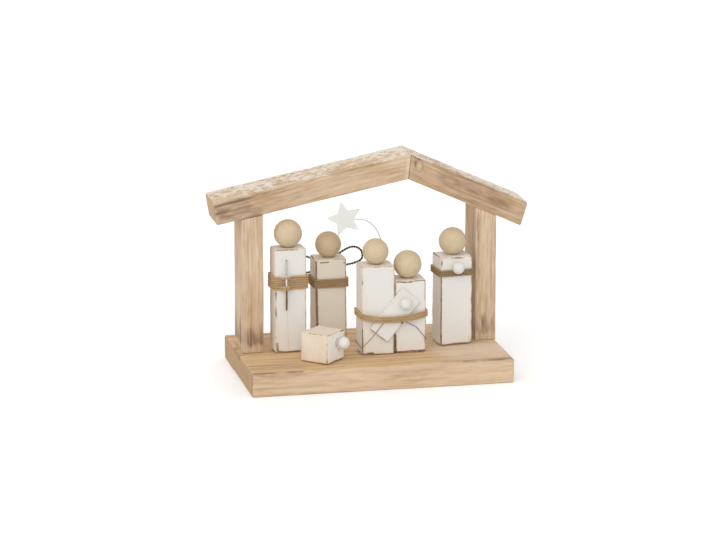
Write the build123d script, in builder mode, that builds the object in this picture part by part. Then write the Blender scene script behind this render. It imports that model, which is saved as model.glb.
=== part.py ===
"""A small wooden nativity stable with loose block figures, modelled piece by piece in millimetres.

The origin is the centre of the base board's underside, +X runs along the roof, +Y to the back, +Z up.
"""

from build123d import *
import math
import os

import numpy as np

os.makedirs("parts", exist_ok=True)

# Base board
base_length = 291.2
base_depth = 169.0
base_thickness = 27.0
board_edge_radius = 1.2

# Frame: two posts under two rafters of unlike slope, flush at the front and the back
frame_depth = 50.0
frame_setback = 84.5
post_width = 23.8
left_post_inset = 5.4
right_post_inset = 0.0
left_post_headroom = 2.9
rafter_thickness = 26.5
left_slope = 11.1
right_slope = 24.5
left_eave_cut = 9.0
right_eave_cut = 17.0
left_overhang = 31.9
right_overhang = 35.9
ridge_share = 0.661

# Screws up through the base into the posts
screw_diameter = 4.0
screw_head_diameter = 8.0
screw_length = 60.0
screw_tip_length = 5.0
screw_recess = 0.6
screw_clearance = 0.1
screw_spacing = 24.0
screw_head_angle = 90.0

# Glued dowels between the posts and the rafters, and across the ridge
dowel_diameter = 8.0
dowel_length = 28.0
dowel_spacing = 26.0
dowel_clearance = 0.05
dowel_end_gap = 0.5

# Painted blocks and turned ball heads
block_edge_radius = 1.4
head_seat = 0.6
neck_dowel_diameter = 6.0
neck_dowel_length = 20.0

shepherd_width = 36.0
shepherd_depth = 23.0
shepherd_height = 117.1
shepherd_head_diameter = 30.8
shepherd_setback = 77.5
shepherd_post_gap = 10.8
shepherd_yaw = 4.0

angel_width = 35.6
angel_depth = 28.0
angel_height = 98.4
angel_head_diameter = 28.8
angel_setback = 96.5
angel_shepherd_gap = 13.2
angel_yaw = 2.0

family_depth = 29.0
family_setback = 47.7
family_king_gap = 20.9
family_yaw = 1.5
tall_parent_width = 37.2
tall_parent_height = 99.7
tall_parent_head_diameter = 28.6
short_parent_width = 35.1
short_parent_height = 82.3
short_parent_head_diameter = 30.8

king_width = 37.0
king_depth = 30.5
king_height = 100.4
king_head_diameter = 30.4
king_setback = 70.6
king_post_gap = 6.2
king_yaw = 5.0

lamb_width = 35.3
lamb_depth = 35.3
lamb_height = 33.3
lamb_setback = 40.3
lamb_family_gap = 45.3
lamb_yaw = -45.0

# Twine wound round the blocks
twine_diameter = 2.2
twine_pitch = 2.65
twine_clearance = 0.2
shepherd_belt_turns = 6
shepherd_belt_drop = 38.0
angel_belt_turns = 4
angel_belt_drop = 27.0
king_belt_turns = 3
king_belt_drop = 18.0
family_twine_turns = 3
family_twine_height = 39.4
family_twine_tilt = 3.0
twine_end_share = 0.3

# Staff tucked into the shepherd's belt, over the middle turns and under the others
staff_diameter = 2.2
staff_length = 57.4
staff_foot = 48.5
staff_offset = -5.8
staff_fit = 0.1
staff_under_turns = (0, 1, 5)
staff_bridge_half = 1.4
staff_bridge_run = 6.6
staff_bend_radius = 3.0

# Wire wings on the angel's back
wing_wire_diameter = 1.8
wing_reach = 41.3
wing_rise = 14.0
wing_right_root_drop = 11.0
wing_left_root_drop = 13.2
wing_root_spread = 6.0
wing_root_stand = 4.5
wing_root_bend = 2.6
wing_socket_depth = 6.0
wing_socket_clearance = 0.05
wing_right_sweep = 15.0
wing_left_sweep = 66.0
wing_right_droop = 0.0
wing_left_droop = 14.6
wing_loop_shares = (
    (0.0, -0.33),
    (0.48, -0.44),
    (0.87, -0.31),
    (1.02, -0.06),
    (1.0, 0.57),
    (0.81, 1.0),
    (0.54, 0.98),
    (0.0, 0.14),
)

# Infant: a thin board tied across the two parents, with a ball for its head
infant_length = 58.0
infant_width = 26.0
infant_thickness = 4.0
infant_tilt = 50.2
infant_offset = 0.0
infant_height = 44.7
infant_edge_radius = 1.0
infant_head_share = 0.3
knob_diameter = 13.4
knob_seat = 1.6
knob_tenon_diameter = 4.0
knob_tenon_clearance = 0.05
infant_tenon_length = 2.6
snout_tenon_length = 8.0
snout_height = 20.6
snout_offset = 7.5
gift_offset = -0.5
gift_rise = 7.0
gift_fit = 0.1

# Thin thread round the pair, its two ends under the twine
thread_diameter = 0.8
thread_clearance = 0.15
thread_left_shares = ((-0.13, 0.415), (-0.36, 0.21))
thread_corner_shares = (0.09, 0.10, 0.12, 0.145)
thread_right_shares = ((0.343, 0.295), (0.195, 0.36), (0.09, 0.41))

# Star on a bent wire out of the tall parent's head, placed from that head's centre
star_radius = 20.0
star_inner_share = 0.48
star_thickness = 3.0
star_turn = 13.6
star_points = 5
star_reach = -34.5
star_rise = 38.0
star_wire_diameter = 1.2
star_socket_depth = 4.0
star_wire_lead = 4.0
star_socket_clearance = 0.05
star_wire_shares = ((0.398, 0.957), (0.158, 0.856), (-0.041, 0.649), (-0.246, 0.186))

# A bend's arc takes this share of the shorter run beside it
bend_share = 0.45

# Points along a tube's route for measuring how near it comes to itself
gap_samples = 900

# Places worked out from the sizes above: the left post clears the tallest figure by its headroom
left_post_height = shepherd_height + shepherd_head_diameter - head_seat + left_post_headroom
left_post_x = left_post_inset - base_length / 2
right_post_x = base_length / 2 - right_post_inset
frame_front_y = frame_setback - base_depth / 2
frame_middle_y = frame_front_y + frame_depth / 2
frame_plane = Plane.XZ.offset(-frame_front_y - frame_depth)
ridge_x = left_post_x + ridge_share * (right_post_x - left_post_x)
left_rise = math.tan(math.radians(left_slope))
right_fall = math.tan(math.radians(right_slope))
left_drop = rafter_thickness / math.cos(math.radians(left_slope))
right_drop = rafter_thickness / math.cos(math.radians(right_slope))


def left_underside(x):
    """Height of the left rafter's underside, a line that rises from the left post's outer face."""
    return base_thickness + left_post_height + left_rise * (x - left_post_x)


ridge_z = left_underside(ridge_x) + left_drop


def right_underside(x):
    """Height of the right rafter's underside, a line that falls from the ridge."""
    return ridge_z - right_drop - right_fall * (x - ridge_x)


def save(piece, label):
    """Label a finished piece and write it to its own file."""
    piece.part.label = label
    export_step(piece.part, f"parts/{label}.step")


def even_pair(spacing):
    """Two places along the frame's depth, evenly about its middle."""
    return (frame_middle_y - spacing / 2, frame_middle_y + spacing / 2)


def stand_plane(front_x, setback, yaw, depth):
    """Plane under a block's centre, from the middle of its front face and its turn about the vertical."""
    turn = math.radians(yaw)
    front_y = setback - base_depth / 2
    centre = (front_x - math.sin(turn) * depth / 2, front_y + math.cos(turn) * depth / 2, base_thickness)
    return Plane(origin=centre, x_dir=(math.cos(turn), math.sin(turn), 0), z_dir=(0, 0, 1))


def smooth_radii(points):
    """Radius at each inner point: as large an arc as the runs on its two sides leave room for."""
    vectors = [Vector(*point) for point in points]
    radii = []
    for before, corner, after in zip(vectors, vectors[1:], vectors[2:]):
        run_in = corner - before
        run_out = after - corner
        half_turn = math.radians(run_in.get_angle(run_out)) / 2
        radii.append(bend_share * min(run_in.length, run_out.length) / math.tan(half_turn))
    return radii


def bent_tube(plane, points, radii, diameter):
    """A round tube along straight runs joined by arcs, and its route."""
    with BuildPart() as tube:
        with BuildLine(plane) as route:
            FilletPolyline(*points, radius=radii)
        with BuildSketch(Plane(origin=route.line @ 0, z_dir=route.line % 0)):
            Circle(diameter / 2)
        sweep(path=route.line)
    return tube, route.wires()[0]


def print_least_gap(label, route, diameter, turns):
    """Measure on points how near a wound tube comes to itself, leaving out half a turn on each side."""
    places = np.array([tuple(route @ (step / gap_samples)) for step in range(gap_samples + 1)])
    skip = gap_samples // (2 * turns)
    nearest = min(
        np.linalg.norm(places[step + skip:] - places[step], axis=1).min()
        for step in range(gap_samples + 1 - skip)
    )
    least_gap = nearest - diameter
    print(f"{label}: {turns} turns, {route.length:.0f} mm long, least gap to itself {least_gap:.2f} mm")


# Base board, with countersunk holes from below for the post screws
post_middles = (left_post_x + post_width / 2, right_post_x - post_width / 2)
screw_spots = [(x, y) for x in post_middles for y in even_pair(screw_spacing)]
with BuildPart() as base_board:
    Box(base_length, base_depth, base_thickness, align=(Align.CENTER, Align.CENTER, Align.MIN))
    fillet(base_board.edges(), board_edge_radius)
    with Locations([Plane(origin=(x, y, 0), z_dir=(0, 0, -1)) for x, y in screw_spots]):
        CounterSinkHole(
            screw_diameter / 2 + screw_clearance,
            screw_head_diameter / 2 + screw_clearance + screw_recess,
            counter_sink_angle=screw_head_angle,
        )
save(base_board, "base_board")

screw_head_height = (screw_head_diameter - screw_diameter) / 2
with BuildPart() as post_screws:
    for x, y in screw_spots:
        with BuildSketch(Plane(origin=(x, y, screw_recess), x_dir=(1, 0, 0), z_dir=(0, -1, 0))):
            with BuildLine():
                Polyline(
                    (0, 0),
                    (screw_head_diameter / 2, 0),
                    (screw_diameter / 2, screw_head_height),
                    (screw_diameter / 2, screw_length - screw_tip_length),
                    (0, screw_length),
                    close=True,
                )
            make_face()
        revolve(axis=Axis((x, y, 0), (0, 0, 1)))
save(post_screws, "post_screws")

# Posts, cut at the top to the slope of the rafter that each carries
eave_heights = (left_underside(post_middles[0]), right_underside(post_middles[1]))
eave_spots = [(x, y, z) for x, z in zip(post_middles, eave_heights) for y in even_pair(dowel_spacing)]
dowel_bore_radius = dowel_diameter / 2 + dowel_clearance
dowel_bore_length = dowel_length + 2 * dowel_end_gap
screw_bore_length = screw_recess + screw_length + dowel_end_gap
for label, left_face, underside in (
    ("left_post", left_post_x, left_underside),
    ("right_post", right_post_x - post_width, right_underside),
):
    right_face = left_face + post_width
    with BuildPart() as post:
        with BuildSketch(frame_plane):
            with BuildLine():
                Polyline(
                    (left_face, base_thickness),
                    (right_face, base_thickness),
                    (right_face, underside(right_face)),
                    (left_face, underside(left_face)),
                    close=True,
                )
            make_face()
        extrude(amount=frame_depth)
        fillet(post.edges().filter_by(Axis.Z), board_edge_radius)
        with Locations([(x, y, 0) for x, y in screw_spots]):
            Cylinder(
                screw_diameter / 2 + screw_clearance,
                screw_bore_length,
                align=(Align.CENTER, Align.CENTER, Align.MIN),
                mode=Mode.SUBTRACT,
            )
        with Locations(eave_spots):
            Cylinder(dowel_bore_radius, dowel_bore_length, mode=Mode.SUBTRACT)
    save(post, label)

with BuildPart() as eave_dowels:
    with Locations(eave_spots):
        Cylinder(dowel_diameter / 2, dowel_length)
save(eave_dowels, "eave_dowels")

# Rafters, mitred where they meet and cut a little off square at the eaves
inner_ridge_x = ridge_x + (left_drop - right_drop) / (left_rise + right_fall)
outer_ridge = Vector(ridge_x, 0, ridge_z)
inner_ridge = Vector(inner_ridge_x, 0, left_underside(inner_ridge_x))
mitre = outer_ridge - inner_ridge
mitre_middle = (outer_ridge + inner_ridge) / 2
ridge_spots = [
    Plane(origin=(mitre_middle.X, y, mitre_middle.Z), z_dir=(mitre.Z, 0, -mitre.X))
    for y in even_pair(dowel_spacing)
]
left_eave_x = left_post_x - left_overhang
left_eave_z = left_underside(left_eave_x) + left_drop
right_eave_x = right_post_x + right_overhang
right_eave_z = right_underside(right_eave_x) + right_drop
for label, slope, cut, side, eave_x, eave_z in (
    ("left_rafter", left_slope, left_eave_cut, 1, left_eave_x, left_eave_z),
    ("right_rafter", right_slope, right_eave_cut, -1, right_eave_x, right_eave_z),
):
    cut_length = rafter_thickness / math.cos(math.radians(slope - cut))
    foot_x = eave_x + side * cut_length * math.sin(math.radians(cut))
    foot_z = eave_z - cut_length * math.cos(math.radians(cut))
    with BuildPart() as rafter:
        with BuildSketch(frame_plane):
            with BuildLine():
                Polyline(
                    (outer_ridge.X, outer_ridge.Z),
                    (eave_x, eave_z),
                    (foot_x, foot_z),
                    (inner_ridge.X, inner_ridge.Z),
                    close=True,
                )
            make_face()
        extrude(amount=frame_depth)
        eave_edges = rafter.edges().filter_by(Axis.Y).sort_by(Axis.X, reverse=side < 0)[:2]
        fillet(eave_edges, board_edge_radius)
        with Locations(eave_spots):
            Cylinder(dowel_bore_radius, dowel_bore_length, mode=Mode.SUBTRACT)
        with Locations(ridge_spots):
            Cylinder(dowel_bore_radius, dowel_bore_length, mode=Mode.SUBTRACT)
    save(rafter, label)

with BuildPart() as ridge_dowels:
    with Locations(ridge_spots):
        Cylinder(dowel_diameter / 2, dowel_length)
save(ridge_dowels, "ridge_dowels")

# Where each figure stands
shepherd_x = left_post_x + post_width + shepherd_post_gap + shepherd_width / 2
angel_x = shepherd_x + shepherd_width / 2 + angel_shepherd_gap + angel_width / 2
king_x = right_post_x - post_width - king_post_gap - king_width / 2
family_width = tall_parent_width + short_parent_width
family_centre = king_x - (king_width + family_width) / 2 - family_king_gap
lamb_x = family_centre - family_width / 2 - lamb_family_gap
shepherd_plane = stand_plane(shepherd_x, shepherd_setback, shepherd_yaw, shepherd_depth)
angel_plane = stand_plane(angel_x, angel_setback, angel_yaw, angel_depth)
family_plane = stand_plane(family_centre, family_setback, family_yaw, family_depth)
king_plane = stand_plane(king_x, king_setback, king_yaw, king_depth)
lamb_plane = stand_plane(lamb_x, lamb_setback, lamb_yaw, 0)
tall_parent_plane = Plane(family_plane.location * Location(((tall_parent_width - family_width) / 2, 0, 0)))
short_parent_plane = Plane(family_plane.location * Location(((family_width - short_parent_width) / 2, 0, 0)))

neck_bore_radius = neck_dowel_diameter / 2 + dowel_clearance
neck_bore_depth = neck_dowel_length / 2 + dowel_end_gap
knob_bore_radius = knob_tenon_diameter / 2 + knob_tenon_clearance


def painted_block(plane, width, depth, height, sockets):
    """A block with eased edges, and a blind round socket for each plane, radius and depth given."""
    with BuildPart(plane) as block:
        Box(width, depth, height, align=(Align.CENTER, Align.CENTER, Align.MIN))
        fillet(block.edges(), block_edge_radius)
        for place, radius, reach in sockets:
            with Locations(place):
                Hole(radius, depth=reach)
    return block


def neck_socket(height):
    """The socket for the neck dowel in the top of a block."""
    return (Plane.XY.offset(height), neck_bore_radius, neck_bore_depth)


def head_middle(height, diameter):
    """Height of a head's centre above the foot of its block."""
    return height + diameter / 2 - head_seat


def ball_head(plane, height, diameter, wire_socket=None):
    """A ball with a flat to stand on, bored for its neck dowel and for any wire that it holds."""
    with BuildPart(plane) as head:
        with Locations((0, 0, head_middle(height, diameter))):
            Sphere(diameter / 2)
        split(bisect_by=plane.offset(height), keep=Keep.TOP)
        with Locations(Plane(origin=(0, 0, height), z_dir=(0, 0, -1))):
            Hole(neck_bore_radius, depth=neck_bore_depth)
        if wire_socket:
            place, length = wire_socket
            with Locations(place):
                Cylinder(
                    star_wire_diameter / 2 + star_socket_clearance,
                    length,
                    align=(Align.CENTER, Align.CENTER, Align.MIN),
                    mode=Mode.SUBTRACT,
                )
    return head


def neck_dowel(plane, height):
    """The dowel half in the block and half in the head."""
    with BuildPart(plane) as dowel:
        with Locations((0, 0, height)):
            Cylinder(neck_dowel_diameter / 2, neck_dowel_length)
    return dowel


def ball_knob(plane, tenon_length):
    """A ball with a flat on the plane, and a tenon behind the flat where it has one."""
    with BuildPart(plane) as knob:
        with Locations((0, 0, knob_diameter / 2 - knob_seat)):
            Sphere(knob_diameter / 2)
        split(bisect_by=plane, keep=Keep.TOP)
        if tenon_length:
            Cylinder(
                knob_tenon_diameter / 2,
                tenon_length,
                align=(Align.CENTER, Align.CENTER, Align.MAX),
            )
    return knob


def wound_twine(label, plane, width, depth, middle, turns, detours, tilt=0):
    """Twine wound round a block in one tube: level on three faces, climbing one turn across the back.

    detours gives, for some turns, the points (along the face, out from the face, radius) that the front run
    goes through, and tilt is how much higher the winding lies on the right than on the left.
    """
    stand_off = twine_clearance + twine_diameter / 2
    side = width / 2 + stand_off
    reach = depth / 2 + stand_off
    corner = block_edge_radius + stand_off
    low = middle - twine_pitch * (turns - 1) / 2 - tilt / 2
    end_x = twine_end_share * width
    start_climb = (twine_pitch - tilt) * (side - end_x) / (2 * side)
    points = [(end_x, reach, low - twine_pitch + tilt + start_climb)]
    radii = []
    for turn in range(turns):
        left = low + turn * twine_pitch
        right = left + tilt
        front = [
            (x, -depth / 2 - out, left + tilt * (x + side) / (2 * side))
            for x, out, _ in detours.get(turn, ())
        ]
        points += [(-side, reach, left), (-side, -reach, left)]
        points += front
        points += [(side, -reach, right), (side, reach, right)]
        radii += [corner, corner] + [radius for _, _, radius in detours.get(turn, ())] + [corner, corner]
    points.append((-end_x, reach, right + (twine_pitch - tilt) * (side + end_x) / (2 * side)))
    twine, route = bent_tube(plane, points, radii, twine_diameter)
    print_least_gap(label, route, twine_diameter, turns)
    save(twine, label)


# Shepherd
save(
    painted_block(
        shepherd_plane, shepherd_width, shepherd_depth, shepherd_height, [neck_socket(shepherd_height)]
    ),
    "shepherd_block",
)
save(ball_head(shepherd_plane, shepherd_height, shepherd_head_diameter), "shepherd_head")
save(neck_dowel(shepherd_plane, shepherd_height), "shepherd_neck_dowel")

belt_surface = twine_clearance + twine_diameter
staff_out = belt_surface + staff_fit + staff_diameter / 2
bridge_out = staff_out + staff_diameter / 2 + staff_fit + twine_diameter / 2
belt_out = belt_surface - twine_diameter / 2
bridge_foot = staff_bridge_half + staff_bridge_run
staff_bridge = [
    (staff_offset + along, out, staff_bend_radius)
    for along, out in (
        (-bridge_foot, belt_out),
        (-staff_bridge_half, bridge_out),
        (staff_bridge_half, bridge_out),
        (bridge_foot, belt_out),
    )
]
wound_twine(
    "shepherd_belt",
    shepherd_plane,
    shepherd_width,
    shepherd_depth,
    shepherd_height - shepherd_belt_drop,
    shepherd_belt_turns,
    {turn: staff_bridge for turn in staff_under_turns},
)
with BuildPart(shepherd_plane) as shepherd_staff:
    with Locations((staff_offset, -shepherd_depth / 2 - staff_out, staff_foot)):
        Cylinder(staff_diameter / 2, staff_length, align=(Align.CENTER, Align.CENTER, Align.MIN))
save(shepherd_staff, "shepherd_staff")

# Angel, with two wire wings whose ends are pushed into the back of the block
wing_socket_radius = wing_wire_diameter / 2 + wing_socket_clearance
wing_end_shares = (wing_loop_shares[0], wing_loop_shares[-1])


def wing_end_heights(root_drop):
    """Heights of a wing's two ends in the back of the block."""
    return [angel_height - root_drop + up * wing_rise for _, up in wing_end_shares]


wing_sockets = [
    (Plane(origin=(x, angel_depth / 2, z), z_dir=(0, 1, 0)), wing_socket_radius, wing_socket_depth)
    for x, root_drop in ((-wing_root_spread, wing_left_root_drop), (wing_root_spread, wing_right_root_drop))
    for z in wing_end_heights(root_drop)
]
save(
    painted_block(
        angel_plane, angel_width, angel_depth, angel_height, [neck_socket(angel_height), *wing_sockets]
    ),
    "angel_block",
)
save(ball_head(angel_plane, angel_height, angel_head_diameter), "angel_head")
save(neck_dowel(angel_plane, angel_height), "angel_neck_dowel")
angel_belt_height = angel_height - angel_belt_drop
wound_twine("angel_belt", angel_plane, angel_width, angel_depth, angel_belt_height, angel_belt_turns, {})
for label, side, sweep_angle, root_drop, droop in (
    ("angel_left_wing", -1, wing_left_sweep, wing_left_root_drop, wing_left_droop),
    ("angel_right_wing", 1, wing_right_sweep, wing_right_root_drop, wing_right_droop),
):
    out_x = side * wing_reach * math.cos(math.radians(sweep_angle))
    out_y = wing_reach * math.sin(math.radians(sweep_angle))
    root_x = side * wing_root_spread
    root_y = angel_depth / 2 + wing_root_stand
    root_z = angel_height - root_drop
    loop = [
        (root_x + along * out_x, root_y + along * out_y, root_z + up * wing_rise - along * droop)
        for along, up in wing_loop_shares
    ]
    inner_y = angel_depth / 2 - wing_socket_depth
    ends = [(root_x, inner_y, z) for z in wing_end_heights(root_drop)]
    points = [ends[0], *loop, ends[1]]
    radii = [wing_root_bend, *smooth_radii(loop), wing_root_bend]
    wing, _ = bent_tube(angel_plane, points, radii, wing_wire_diameter)
    save(wing, label)

# The two parents, side by side
star_step = math.pi / star_points
star_tip_angle = math.pi / 2 + math.radians(star_turn)
star_socket_angle = star_tip_angle - 3 * star_step
star_inner_radius = star_radius * star_inner_share
star_socket_end = star_inner_radius - star_socket_depth
star_wire_start = [
    (star_reach + radius * math.cos(star_socket_angle), star_rise + radius * math.sin(star_socket_angle))
    for radius in (star_socket_end, star_inner_radius + star_wire_lead)
]
tall_head_middle = head_middle(tall_parent_height, tall_parent_head_diameter)
star_wire_route = star_wire_start + [(along * star_reach, up * star_rise) for along, up in star_wire_shares]
star_wire_points = [(x, 0, tall_head_middle + z) for x, z in star_wire_route]
wire_run = Vector(*star_wire_points[-2]) - Vector(*star_wire_points[-1])
wire_socket = (Plane(origin=star_wire_points[-1], z_dir=wire_run), wire_run.length)
for label, plane, width, height, head_diameter, socket in (
    (
        "tall_parent",
        tall_parent_plane,
        tall_parent_width,
        tall_parent_height,
        tall_parent_head_diameter,
        wire_socket,
    ),
    (
        "short_parent",
        short_parent_plane,
        short_parent_width,
        short_parent_height,
        short_parent_head_diameter,
        None,
    ),
):
    save(painted_block(plane, width, family_depth, height, [neck_socket(height)]), f"{label}_block")
    save(ball_head(plane, height, head_diameter, socket), f"{label}_head")
    save(neck_dowel(plane, height), f"{label}_neck_dowel")

# Infant, lying across the fronts of the parents
infant_plane = Plane(
    family_plane.location
    * Location((infant_offset, -family_depth / 2, infant_height))
    * Location((0, 0, 0), (90, 0, 0))
    * Location((0, 0, 0), (0, 0, infant_tilt))
)
infant_head_place = infant_head_share * infant_length
with BuildPart(infant_plane) as infant_board:
    Box(infant_length, infant_width, infant_thickness, align=(Align.CENTER, Align.CENTER, Align.MIN))
    fillet(infant_board.edges(), infant_edge_radius)
    with Locations((infant_head_place, 0, infant_thickness)):
        Hole(knob_bore_radius, depth=infant_tenon_length + dowel_end_gap)
save(infant_board, "infant_board")
infant_head_plane = Plane(infant_plane.location * Location((infant_head_place, 0, infant_thickness)))
save(ball_knob(infant_head_plane, infant_tenon_length), "infant_head")

# Thread and twine round the pair, over the infant's board
thread_face_out = thread_clearance + thread_diameter / 2
thread_board_out = infant_thickness + thread_face_out
thread_side = family_width / 2 + thread_face_out
thread_reach = family_depth / 2 + thread_face_out
thread_corner = block_edge_radius + thread_face_out


def thread_front(share_pair, out):
    """A point of the thread on the pair's front, at shares of its width and of the tall block's height."""
    return (share_pair[0] * family_width, -family_depth / 2 - out, share_pair[1] * tall_parent_height)


thread_heights = [share * tall_parent_height for share in thread_corner_shares]
thread_left = [thread_front(share_pair, thread_board_out) for share_pair in thread_left_shares]
thread_right = [
    thread_front(thread_right_shares[0], thread_face_out),
    thread_front(thread_right_shares[1], thread_board_out),
    thread_front(thread_right_shares[2], thread_board_out),
]
thread_corners = [
    (-thread_side, -thread_reach, thread_heights[0]),
    (-thread_side, thread_reach, thread_heights[1]),
    (thread_side, thread_reach, thread_heights[2]),
    (thread_side, -thread_reach, thread_heights[3]),
]
thread_points = [*thread_left, *thread_corners, *thread_right]
thread_bends = smooth_radii(thread_points)
thread_radii = [thread_bends[0], *[thread_corner] * len(thread_corners), *thread_bends[-2:]]
family_thread, _ = bent_tube(family_plane, thread_points, thread_radii, thread_diameter)
save(family_thread, "family_thread")

infant_cross_half = infant_width / 2 / math.sin(math.radians(infant_tilt))
infant_lean = 1 / math.tan(math.radians(infant_tilt))
family_twine_out = thread_board_out + thread_face_out + twine_clearance + twine_diameter / 2
family_detours = {}
for turn in range(family_twine_turns):
    turn_height = family_twine_height + twine_pitch * (turn - (family_twine_turns - 1) / 2)
    board_x = infant_offset + (turn_height - infant_height) * infant_lean
    family_detours[turn] = [
        (board_x - infant_cross_half - twine_diameter, family_twine_out, infant_thickness + twine_diameter),
        (board_x + infant_cross_half + twine_diameter, family_twine_out, infant_thickness + twine_diameter),
    ]
wound_twine(
    "family_twine",
    family_plane,
    family_width,
    family_depth,
    family_twine_height,
    family_twine_turns,
    family_detours,
    family_twine_tilt,
)

# Star and its wire
star_wire, _ = bent_tube(
    tall_parent_plane, star_wire_points, smooth_radii(star_wire_points), star_wire_diameter
)
save(star_wire, "star_wire")
star_plane = Plane(
    tall_parent_plane.location
    * Location((star_reach, 0, tall_head_middle + star_rise))
    * Location((0, 0, 0), (90, 0, 0))
)
star_outline = []
for corner in range(2 * star_points):
    corner_radius = star_inner_radius if corner % 2 else star_radius
    corner_angle = star_tip_angle + corner * star_step
    star_outline.append((corner_radius * math.cos(corner_angle), corner_radius * math.sin(corner_angle)))
with BuildPart(star_plane) as star:
    with BuildSketch(star_plane):
        with BuildLine():
            Polyline(*star_outline, close=True)
        make_face()
    extrude(amount=star_thickness / 2, both=True)
    socket_run = Vector(math.cos(star_socket_angle), math.sin(star_socket_angle), 0)
    with Locations(Plane(origin=socket_run * star_socket_end, z_dir=socket_run)):
        Cylinder(
            star_wire_diameter / 2 + star_socket_clearance,
            star_radius,
            align=(Align.CENTER, Align.CENTER, Align.MIN),
            mode=Mode.SUBTRACT,
        )
save(star, "star")

# King, with a gift glued on the front of the belt
save(
    painted_block(king_plane, king_width, king_depth, king_height, [neck_socket(king_height)]),
    "king_block",
)
save(ball_head(king_plane, king_height, king_head_diameter), "king_head")
save(neck_dowel(king_plane, king_height), "king_neck_dowel")
king_belt_height = king_height - king_belt_drop
wound_twine("king_belt", king_plane, king_width, king_depth, king_belt_height, king_belt_turns, {})
gift_place = (gift_offset, -king_depth / 2 - belt_surface - gift_fit, king_belt_height + gift_rise)
gift_plane = Plane(king_plane.location * Location(gift_place) * Location((0, 0, 0), (90, 0, 0)))
save(ball_knob(gift_plane, 0), "king_gift")

# Lamb: a low block with a knob for its snout
snout_place = Plane(origin=(lamb_width / 2, snout_offset, snout_height), z_dir=(1, 0, 0))
snout_socket = (snout_place, knob_bore_radius, snout_tenon_length + dowel_end_gap)
save(painted_block(lamb_plane, lamb_width, lamb_depth, lamb_height, [snout_socket]), "lamb_block")
save(ball_knob(Plane(lamb_plane.location * snout_place.location), snout_tenon_length), "lamb_snout")
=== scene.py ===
"""Finishes for a small wooden nativity stable: worn boards, painted block figures, twine and wire.

Laid out as an add-on and run as a script. Lengths are metres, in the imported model's frame, and colours are
linear. Each new surface is worked out as whole arrays and stands where the node that it replaces stands.
"""

import math

import bpy
import numpy as np
from bpy.props import FloatProperty, FloatVectorProperty, IntProperty, PointerProperty
from bpy.types import Operator, Panel, PropertyGroup
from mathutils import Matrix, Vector


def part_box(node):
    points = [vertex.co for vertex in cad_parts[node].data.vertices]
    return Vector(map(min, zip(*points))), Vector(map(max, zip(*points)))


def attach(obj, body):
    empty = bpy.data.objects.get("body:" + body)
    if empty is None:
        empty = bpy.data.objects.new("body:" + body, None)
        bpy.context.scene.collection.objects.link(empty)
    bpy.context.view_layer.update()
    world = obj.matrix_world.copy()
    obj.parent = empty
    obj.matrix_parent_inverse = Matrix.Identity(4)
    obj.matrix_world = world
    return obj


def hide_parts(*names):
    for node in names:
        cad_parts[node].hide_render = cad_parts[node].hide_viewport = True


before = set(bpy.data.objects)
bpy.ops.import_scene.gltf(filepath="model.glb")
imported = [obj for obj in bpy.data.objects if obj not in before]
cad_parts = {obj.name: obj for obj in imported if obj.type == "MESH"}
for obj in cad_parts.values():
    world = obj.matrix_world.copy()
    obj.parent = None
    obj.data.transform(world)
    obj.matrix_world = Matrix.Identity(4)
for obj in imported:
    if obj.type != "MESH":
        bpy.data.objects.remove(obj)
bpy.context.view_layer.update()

bl_info = {
    "name": "Nativity stable finishes",
    "version": (1, 0, 0),
    "blender": (4, 5, 0),
    "location": "3D View > Sidebar > Stable",
    "description": "Builds the worn boards, painted figures, twine, wire and stage of a nativity stable",
    "category": "Object",
}

PHOTO_WIDTH = 716
SENSOR_WIDTH = 36.0
CLIP_END = 100.0
UP = np.array([0.0, 0.0, 1.0])


def length(name, description, default):
    """A length that a user can set."""
    return FloatProperty(name=name, description=description, default=default, unit="LENGTH", precision=5)


def angle(name, description, degrees):
    """An angle that a user can set, given in degrees."""
    return FloatProperty(name=name, description=description, default=math.radians(degrees), subtype="ANGLE")


def amount(name, description, default, subtype="NONE"):
    """A plain number that a user can set."""
    return FloatProperty(name=name, description=description, default=default, subtype=subtype)


def triple(name, description, default, subtype):
    """A place or a direction that a user can set."""
    return FloatVectorProperty(name=name, description=description, default=default, size=3, subtype=subtype)


def colour(name, description, default):
    """A linear colour that a user can set."""
    return FloatVectorProperty(
        name=name, description=description, default=default, size=3, min=0.0, max=1.0, subtype="COLOR"
    )


class BoardSettings(PropertyGroup):
    """Shape and finish of the base, the posts and the rafters."""

    left_slope: angle("Left slope", "Rise of the left rafter", 11.1)
    right_slope: angle("Right slope", "Fall of the right rafter", 24.5)
    left_eave_cut: angle("Left eave cut", "Lean of the left rafter's end from the vertical", 9.0)
    right_eave_cut: angle("Right eave cut", "Lean of the right rafter's end from the vertical", 17.0)
    edge_radius: length("Edge radius", "Rounding of the boards' edges", 0.0013)
    eave_radius: length("Eave radius", "Rounding of the rafters' worn outer ends", 0.0024)
    wave_height: length("Wave height", "Slow unevenness of the sawn faces", 0.00032)
    groove_depth: length("Groove depth", "Depth of the brushed grooves along the grain", 0.00018)
    flake_height: length("Flake height", "Thickness of the snow paint on the roof", 0.0009)
    stain_height: length("Stain height", "Height of the burnt stain at the foot of a post", 0.046)
    light_wood: colour("Light wood", "Wood between the rings", (0.715, 0.555, 0.390))
    dark_wood: colour("Dark wood", "Rings and brushed streaks", (0.45, 0.285, 0.150))
    honey_wood: colour("Honey wood", "Oiled top and ends of the base", (0.685, 0.462, 0.246))
    rose_wood: colour("Rose wood", "Pinkish streaks", (0.58, 0.405, 0.295))
    burnt_wood: colour("Burnt wood", "Stained feet, ends and edges", (0.215, 0.128, 0.078))
    snow_paint: colour("Snow paint", "Chipped paint on the roof", (0.79, 0.725, 0.63))
    side_oil: amount("Side oil", "How golden the sides are, as a share of tops and ends", 0.25, "FACTOR")


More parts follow.
